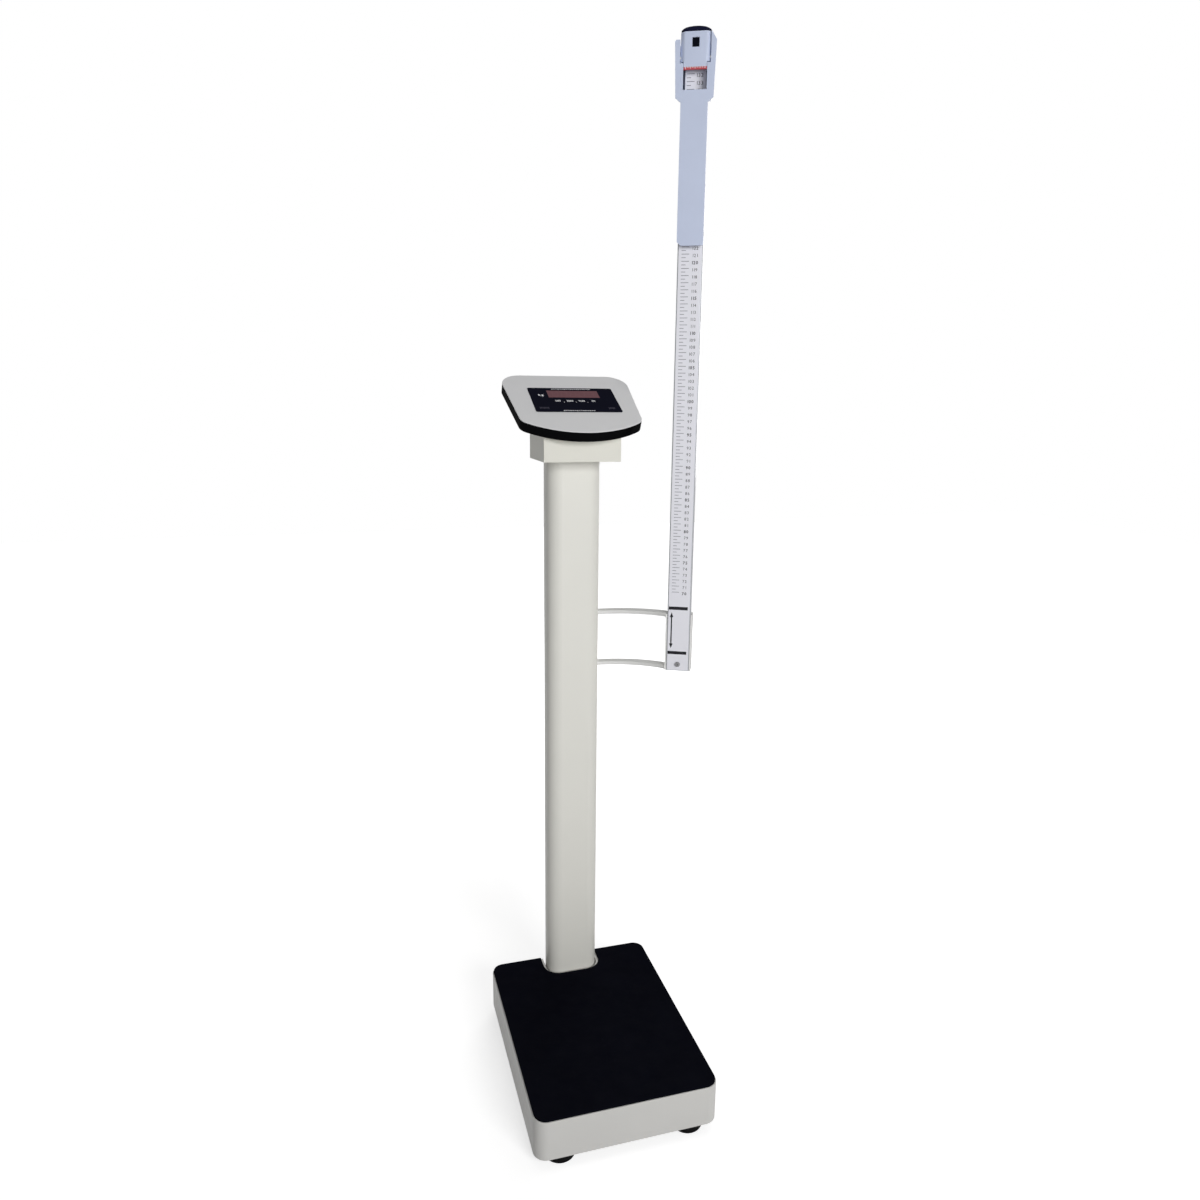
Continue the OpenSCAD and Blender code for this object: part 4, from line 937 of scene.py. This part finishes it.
# %% Unlit digits in the window
def piece_row_tree():
    """Count copies of the given geometry, Pitch apart."""
    tree, given, result = make_tree("piece_row", ("Count",), ("Pitch",))
    offset = vector_in(tree, given["Pitch"], 0.0, 0.0)
    end_tree(tree, given, result, row_in(tree, given["Count"], offset, given["Geometry"]))
    return tree


DIGITS, DIGIT_PITCH = 5, 14.6
DIGIT_HALF_W, DIGIT_HALF_H, DIGIT_BAR = 4.2, 7.6, 0.85
MITRE_GAP, SLANT = 0.35, 0.12


def segment(x0, y0, x1, y1, half):
    """A bar with pointed ends between two corners of the digit."""
    along = Vector((x1 - x0, y1 - y0)).normalized()
    side = Vector((-along.y, along.x)) * half
    a, b = Vector((x0, y0)) + along * MITRE_GAP, Vector((x1, y1)) - along * MITRE_GAP
    near, far = a + along * half, b - along * half
    return [tuple(p) for p in (a, near - side, far - side, b, far + side, near + side)]


corners = [(x, y) for x in (-DIGIT_HALF_W, DIGIT_HALF_W) for y in (-DIGIT_HALF_H, 0, DIGIT_HALF_H)]
joined = [(0, 1), (1, 2), (3, 4), (4, 5), (0, 3), (1, 4), (2, 5)]
digit_bars = [[(x + y * SLANT, y) for x, y in segment(*corners[a], *corners[b], DIGIT_BAR)]
              for a, b in joined]
digit = ink_shape("unlit_digit", digit_bars, Matrix.Identity(4), "scale", "window_tint", UNLIT_SEGMENT)
digit_mesh = digit.data
bpy.data.objects.remove(digit)
window_middle = sum((v.co for v in window.data.vertices), Vector()) / len(window.data.vertices)
window_x, window_y = flat_on_tray(window_middle)
digit_values = {"Count": DIGITS, "Pitch": DIGIT_PITCH * MM, "Material": UNLIT_SEGMENT}
digit_place = on_tray(window_x - (DIGITS - 1) / 2 * DIGIT_PITCH, window_y, PANEL_FACE)
grow("unlit_digits", piece_row_tree(), digit_values, digit_place, "scale", digit_mesh)
print("digits around", round(window_x, 1), round(window_y, 1))

# %% [markdown]
# ## Screws
# The CAD screws are plain heads. A real pan head has a cross recess, so a cross-shaped cutter
# is set into each head and subtracted from a softened copy. The recess is found from the head
# itself: the flat that lies furthest along the direction in which the screw looks.

# %% Cross recesses
FLAT_BAND = 0.1 * MM
CROSS_LONG, CROSS_WIDE, CROSS_DEEP = 1.1, 0.26, 1.1
BACK_SCREW_ABOVE = 620 * MM


def head_places(piece, towards):
    """The middle of the outermost flat of each separate screw, and its radius."""
    work = bmesh.new()
    work.from_mesh(piece.data)
    left, places = set(work.verts), []
    while left:
        island, queue = set(), [left.pop()]
        while queue:
            vertex = queue.pop()
            island.add(vertex)
            for edge in vertex.link_edges:
                other = edge.other_vert(vertex)
                if other in left:
                    left.discard(other)
                    queue.append(other)
        furthest = max(v.co.dot(towards) for v in island)
        flat = [v.co.copy() for v in island if v.co.dot(towards) > furthest - FLAT_BAND]
        middle = sum(flat, Vector()) / len(flat)
        places.append((middle, max((c - middle).length for c in flat)))
    work.free()
    return places


def with_recesses(node, name, directions, soft_width=0.35):
    """A softened copy of the node's screws, with a cross cut into each head.

    directions holds, for each way that heads look, a test of a head's middle.
    """
    piece = softened(node, name, soft_width, 2)
    cutter = bmesh.new()
    for towards, wanted in directions:
        for middle, radius in head_places(piece, towards):
            if not wanted(middle):
                continue
            across = towards.orthogonal().normalized()
            turned = axes_matrix(middle, across, towards.cross(across), towards)
            for long, wide in ((CROSS_LONG, CROSS_WIDE), (CROSS_WIDE, CROSS_LONG)):
                sizes = Matrix.Diagonal((long * radius, wide * radius, CROSS_DEEP * radius, 1))
                bmesh.ops.create_cube(cutter, size=1, matrix=turned @ sizes)
    tool_mesh = bpy.data.meshes.new("cross_cutter")
    cutter.to_mesh(tool_mesh)
    cutter.free()
    tool = new_object("cross_cutter", tool_mesh)
    cut = piece.modifiers.new("cross", "BOOLEAN")
    cut.operation = "DIFFERENCE"
    cut.solver = "EXACT"
    cut.use_self = True
    cut.object = tool
    flatten_modifiers(piece)
    bpy.data.objects.remove(tool)
    return piece


def every_head(middle):
    """Every screw is wanted."""
    return True


def in_front(middle):
    """Whether a head stands in front of the rod's face."""
    return (middle - rod_face).dot(rod_back) < 0


def high_up(middle):
    """Whether a place belongs to the clamp's upper screw, which is driven in from behind."""
    return middle.z > mat_top + BACK_SCREW_ABOVE


clamp_heads = [(-rod_back, in_front), (rod_back, high_up)]
clamp_screws = with_recesses("clamp_screws", "clamp_screws_cross", clamp_heads)
# Darker steel on the clamp screws: painted shade round their heads.
clamp_screws.data.materials[0] = SHADED_CLAMP_STEEL
tray_screws = with_recesses("tray_screws", "tray_screws_cross", [(-tray_normal, every_head)])
foot_screws = with_recesses("foot_screws", "foot_screws_cross", [(-UP, every_head)])
print("recessed screws:", [len(p.data.polygons) for p in (clamp_screws, tray_screws, foot_screws)])

# %% [markdown]
# ## Welds
# The arms have no screws, so real ones are welded on: a thin rippled bead runs round each end,
# where it meets the column or the clamp. Its path is the outline of the arm's end face, which
# is found as the faces that touch the other part. Geometry Nodes sweep a circle along that
# path, and noise on the curve's radius makes the ripples.

# %% Weld beads at the arms' ends
WELD_RADIUS, WELD_RIPPLE, WELD_STEP, WELD_GRAIN = 1.1, 0.35, 0.9, 900.0
TOUCHING = 0.15 * MM
RING_SIDES = 8


def weld_tree():
    """A closed tube of Radius along the given edges, with points every Step, rippled by Ripple."""
    tree, size, result = make_tree("weld_bead", (), ("Radius", "Ripple", "Step", "Grain", "Seed"))
    path = node_in(tree, "GeometryNodeMeshToCurve", {"Mesh": size["Geometry"]})[0]
    wires = {"Curve": path, "Length": size["Step"]}
    path = node_in(tree, "GeometryNodeResampleCurve", wires, mode="LENGTH")[0]
    wires = {"W": size["Seed"], "Scale": size["Grain"]}
    noise = node_in(tree, "ShaderNodeTexNoise", wires, noise_dimensions="4D")[0]
    radius = math_in(tree, "ADD", 1.0, swing_in(tree, noise, size["Ripple"]))
    path = node_in(tree, "GeometryNodeSetCurveRadius", {"Curve": path, "Radius": radius})[0]
    wires = {"Radius": size["Radius"]}
    ring = node_in(tree, "GeometryNodeCurvePrimitiveCircle", wires, Resolution=RING_SIDES)[0]
    bead = node_in(tree, "GeometryNodeCurveToMesh", {"Curve": path, "Profile Curve": ring})
    end_tree(tree, size, result, bead[0])
    return tree


def end_outlines(node, *touched):
    """A mesh of edges: the outline of each patch of the node's faces that touches another node."""
    work = bmesh.new()
    work.from_mesh(frame["nodes"][node].data)
    bmesh.ops.remove_doubles(work, verts=work.verts, dist=SAME_PLACE)
    path = bmesh.new()
    for other in touched:
        shape = frame["nodes"][other].data
        places = [v.co for v in shape.vertices]
        solid = BVHTree.FromPolygons(places, [face.vertices for face in shape.polygons])
        near = {v for v in work.verts if solid.find_nearest(v.co)[3] < TOUCHING}
        patch = {face for face in work.faces if all(v in near for v in face.verts)}
        copies = {}
        for edge in work.edges:
            if sum(face in patch for face in edge.link_faces) == 1:
                for vertex in edge.verts:
                    if vertex not in copies:
                        copies[vertex] = path.verts.new(vertex.co)
                path.edges.new([copies[vertex] for vertex in edge.verts])
    mesh = bpy.data.meshes.new(node + "_weld_path")
    path.to_mesh(mesh)
    work.free()
    path.free()
    return mesh


WELD = weld_tree()
welds = []
for seed, node in enumerate(("upper_arm", "lower_arm")):
    welds.append(grow(node + "_welds", WELD, {
        "Radius": WELD_RADIUS * MM, "Ripple": WELD_RIPPLE, "Step": WELD_STEP * MM, "Grain": WELD_GRAIN,
        "Seed": float(seed), "Material": FINISH["arm_aluminium"],
    }, Matrix.Identity(4), "scale", end_outlines(node, "column", "rod_clamp")))
print("weld beads:", [len(weld.data.polygons) for weld in welds])

# %% Marks on the rocker switch
FACING_BACK = 0.7
ROCKER_TYPE = 5.0

rocker_faces = {}
for face in frame["nodes"]["switch_rocker"].data.polygons:
    if face.normal.y > FACING_BACK:
        rocker_faces.setdefault(round(face.normal.z, 2), []).append(face)
rocker_marks = []
halves = sorted(rocker_faces.values(), key=lambda half: -sum(face.area for face in half))[:2]
for letter, half in zip("OI", sorted(halves, key=lambda half: half[0].center.z)):
    area = sum(face.area for face in half)
    middle = sum((face.center * face.area for face in half), Vector()) / area
    outward = half[0].normal.copy()
    rightward = Vector((-1, 0, 0))
    place = axes_matrix(middle, rightward, outward.cross(rightward), outward)
    rocker_marks.append(print_words("rocker_mark_" + letter.lower(), [(letter, 0, 0, ROCKER_TYPE, BOLD)],
                                    place, "rocker", "switch_black", INK_WHITE))
print("rocker marks:", [mark.name for mark in rocker_marks])

# %% [markdown]
# ## Floor and light
# A pale floor and background, and three soft lamps. The strongest stands in front, to the
# right of the middle, where the photograph's light comes from. A weak one fills in from the
# left, and one behind lights the back. The world is a plain grey for lighting, and white where
# the camera or a reflection sees it directly.

# %% Floor and background
FLOOR_REACH = 6.0
AMBIENT = 0.2


def seen_directly(tree):
    """1 for what the camera sees, itself or in a mirror or through glass, and 0 for lighting."""
    paths = node_in(tree, "ShaderNodeLightPath")
    mirrored = math_in(tree, "MAXIMUM", paths["Is Glossy Ray"], paths["Is Transmission Ray"])
    return math_in(tree, "MAXIMUM", paths["Is Camera Ray"], mirrored)


floor_mesh = bpy.data.meshes.new("floor")
floor_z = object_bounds()[0][2]
floor_sides = ((-1, -1), (1, -1), (1, 1), (-1, 1))
floor_corners = [(x * FLOOR_REACH, y * FLOOR_REACH, floor_z) for x, y in floor_sides]
floor_mesh.from_pydata(floor_corners, [], [(0, 1, 2, 3)])
floor = new_object("floor", floor_mesh)

floor_material = bpy.data.materials.new("pale_floor")
floor_material.use_nodes = True
tree = floor_material.node_tree
shader = tree.nodes["Principled BSDF"]
floor_look = {"Base Color": (0.6, 0.6, 0.6, 1), "Roughness": 0.9, "Specular IOR Level": 0.1,
              "Emission Color": (1, 1, 1, 1)}
for key, value in floor_look.items():
    shader.inputs[key].default_value = value
place = node_in(tree, "ShaderNodeTexCoord")["Object"]
away = node_in(tree, "ShaderNodeVectorMath", {0: place}, operation="LENGTH")["Value"]
whiten = node_in(tree, "ShaderNodeMapRange", {"Value": away},
                 From_Min=0.5, From_Max=2.4, To_Min=0.68, To_Max=1.0)
glow = math_in(tree, "MULTIPLY", seen_directly(tree), whiten[0])
tree.links.new(glow, shader.inputs["Emission Strength"])
floor_mesh.materials.append(floor_material)

world = bpy.data.worlds.new("pale_room")
bpy.context.scene.world = world
world.use_nodes = True
tree = world.node_tree
background = tree.nodes["Background"]
background.inputs["Color"].default_value = (1, 1, 1, 1)
extra = math_in(tree, "MULTIPLY", seen_directly(tree), 1 - AMBIENT)
tree.links.new(math_in(tree, "ADD", AMBIENT, extra), background.inputs["Strength"])
print("floor at", round(floor_z, 4))

# %% Lamps


def soft_lamp(name, place, target, size, power):
    """A square lamp that looks at the target."""
    data = bpy.data.lights.new(name, "AREA")
    data.size = size
    data.energy = power
    lamp = new_object(name, data)
    lamp.location = place
    lamp.rotation_euler = (Vector(target) - Vector(place)).to_track_quat("-Z", "Y").to_euler()
    return lamp


middle = (0.0, 0.0, 0.8)
key_lamp = soft_lamp("key_lamp", (0.5, -2.5, 1.5), middle, 1.2, 48)
fill_lamp = soft_lamp("fill_lamp", (-1.6, -2.2, 1.6), middle, 2.0, 3)
back_lamp = soft_lamp("back_lamp", (1.1, 2.4, 1.5), middle, 1.6, 29)
bpy.context.scene.view_settings.view_transform = "Standard"
print("lamps:", key_lamp.data.energy, fill_lamp.data.energy, back_lamp.data.energy)
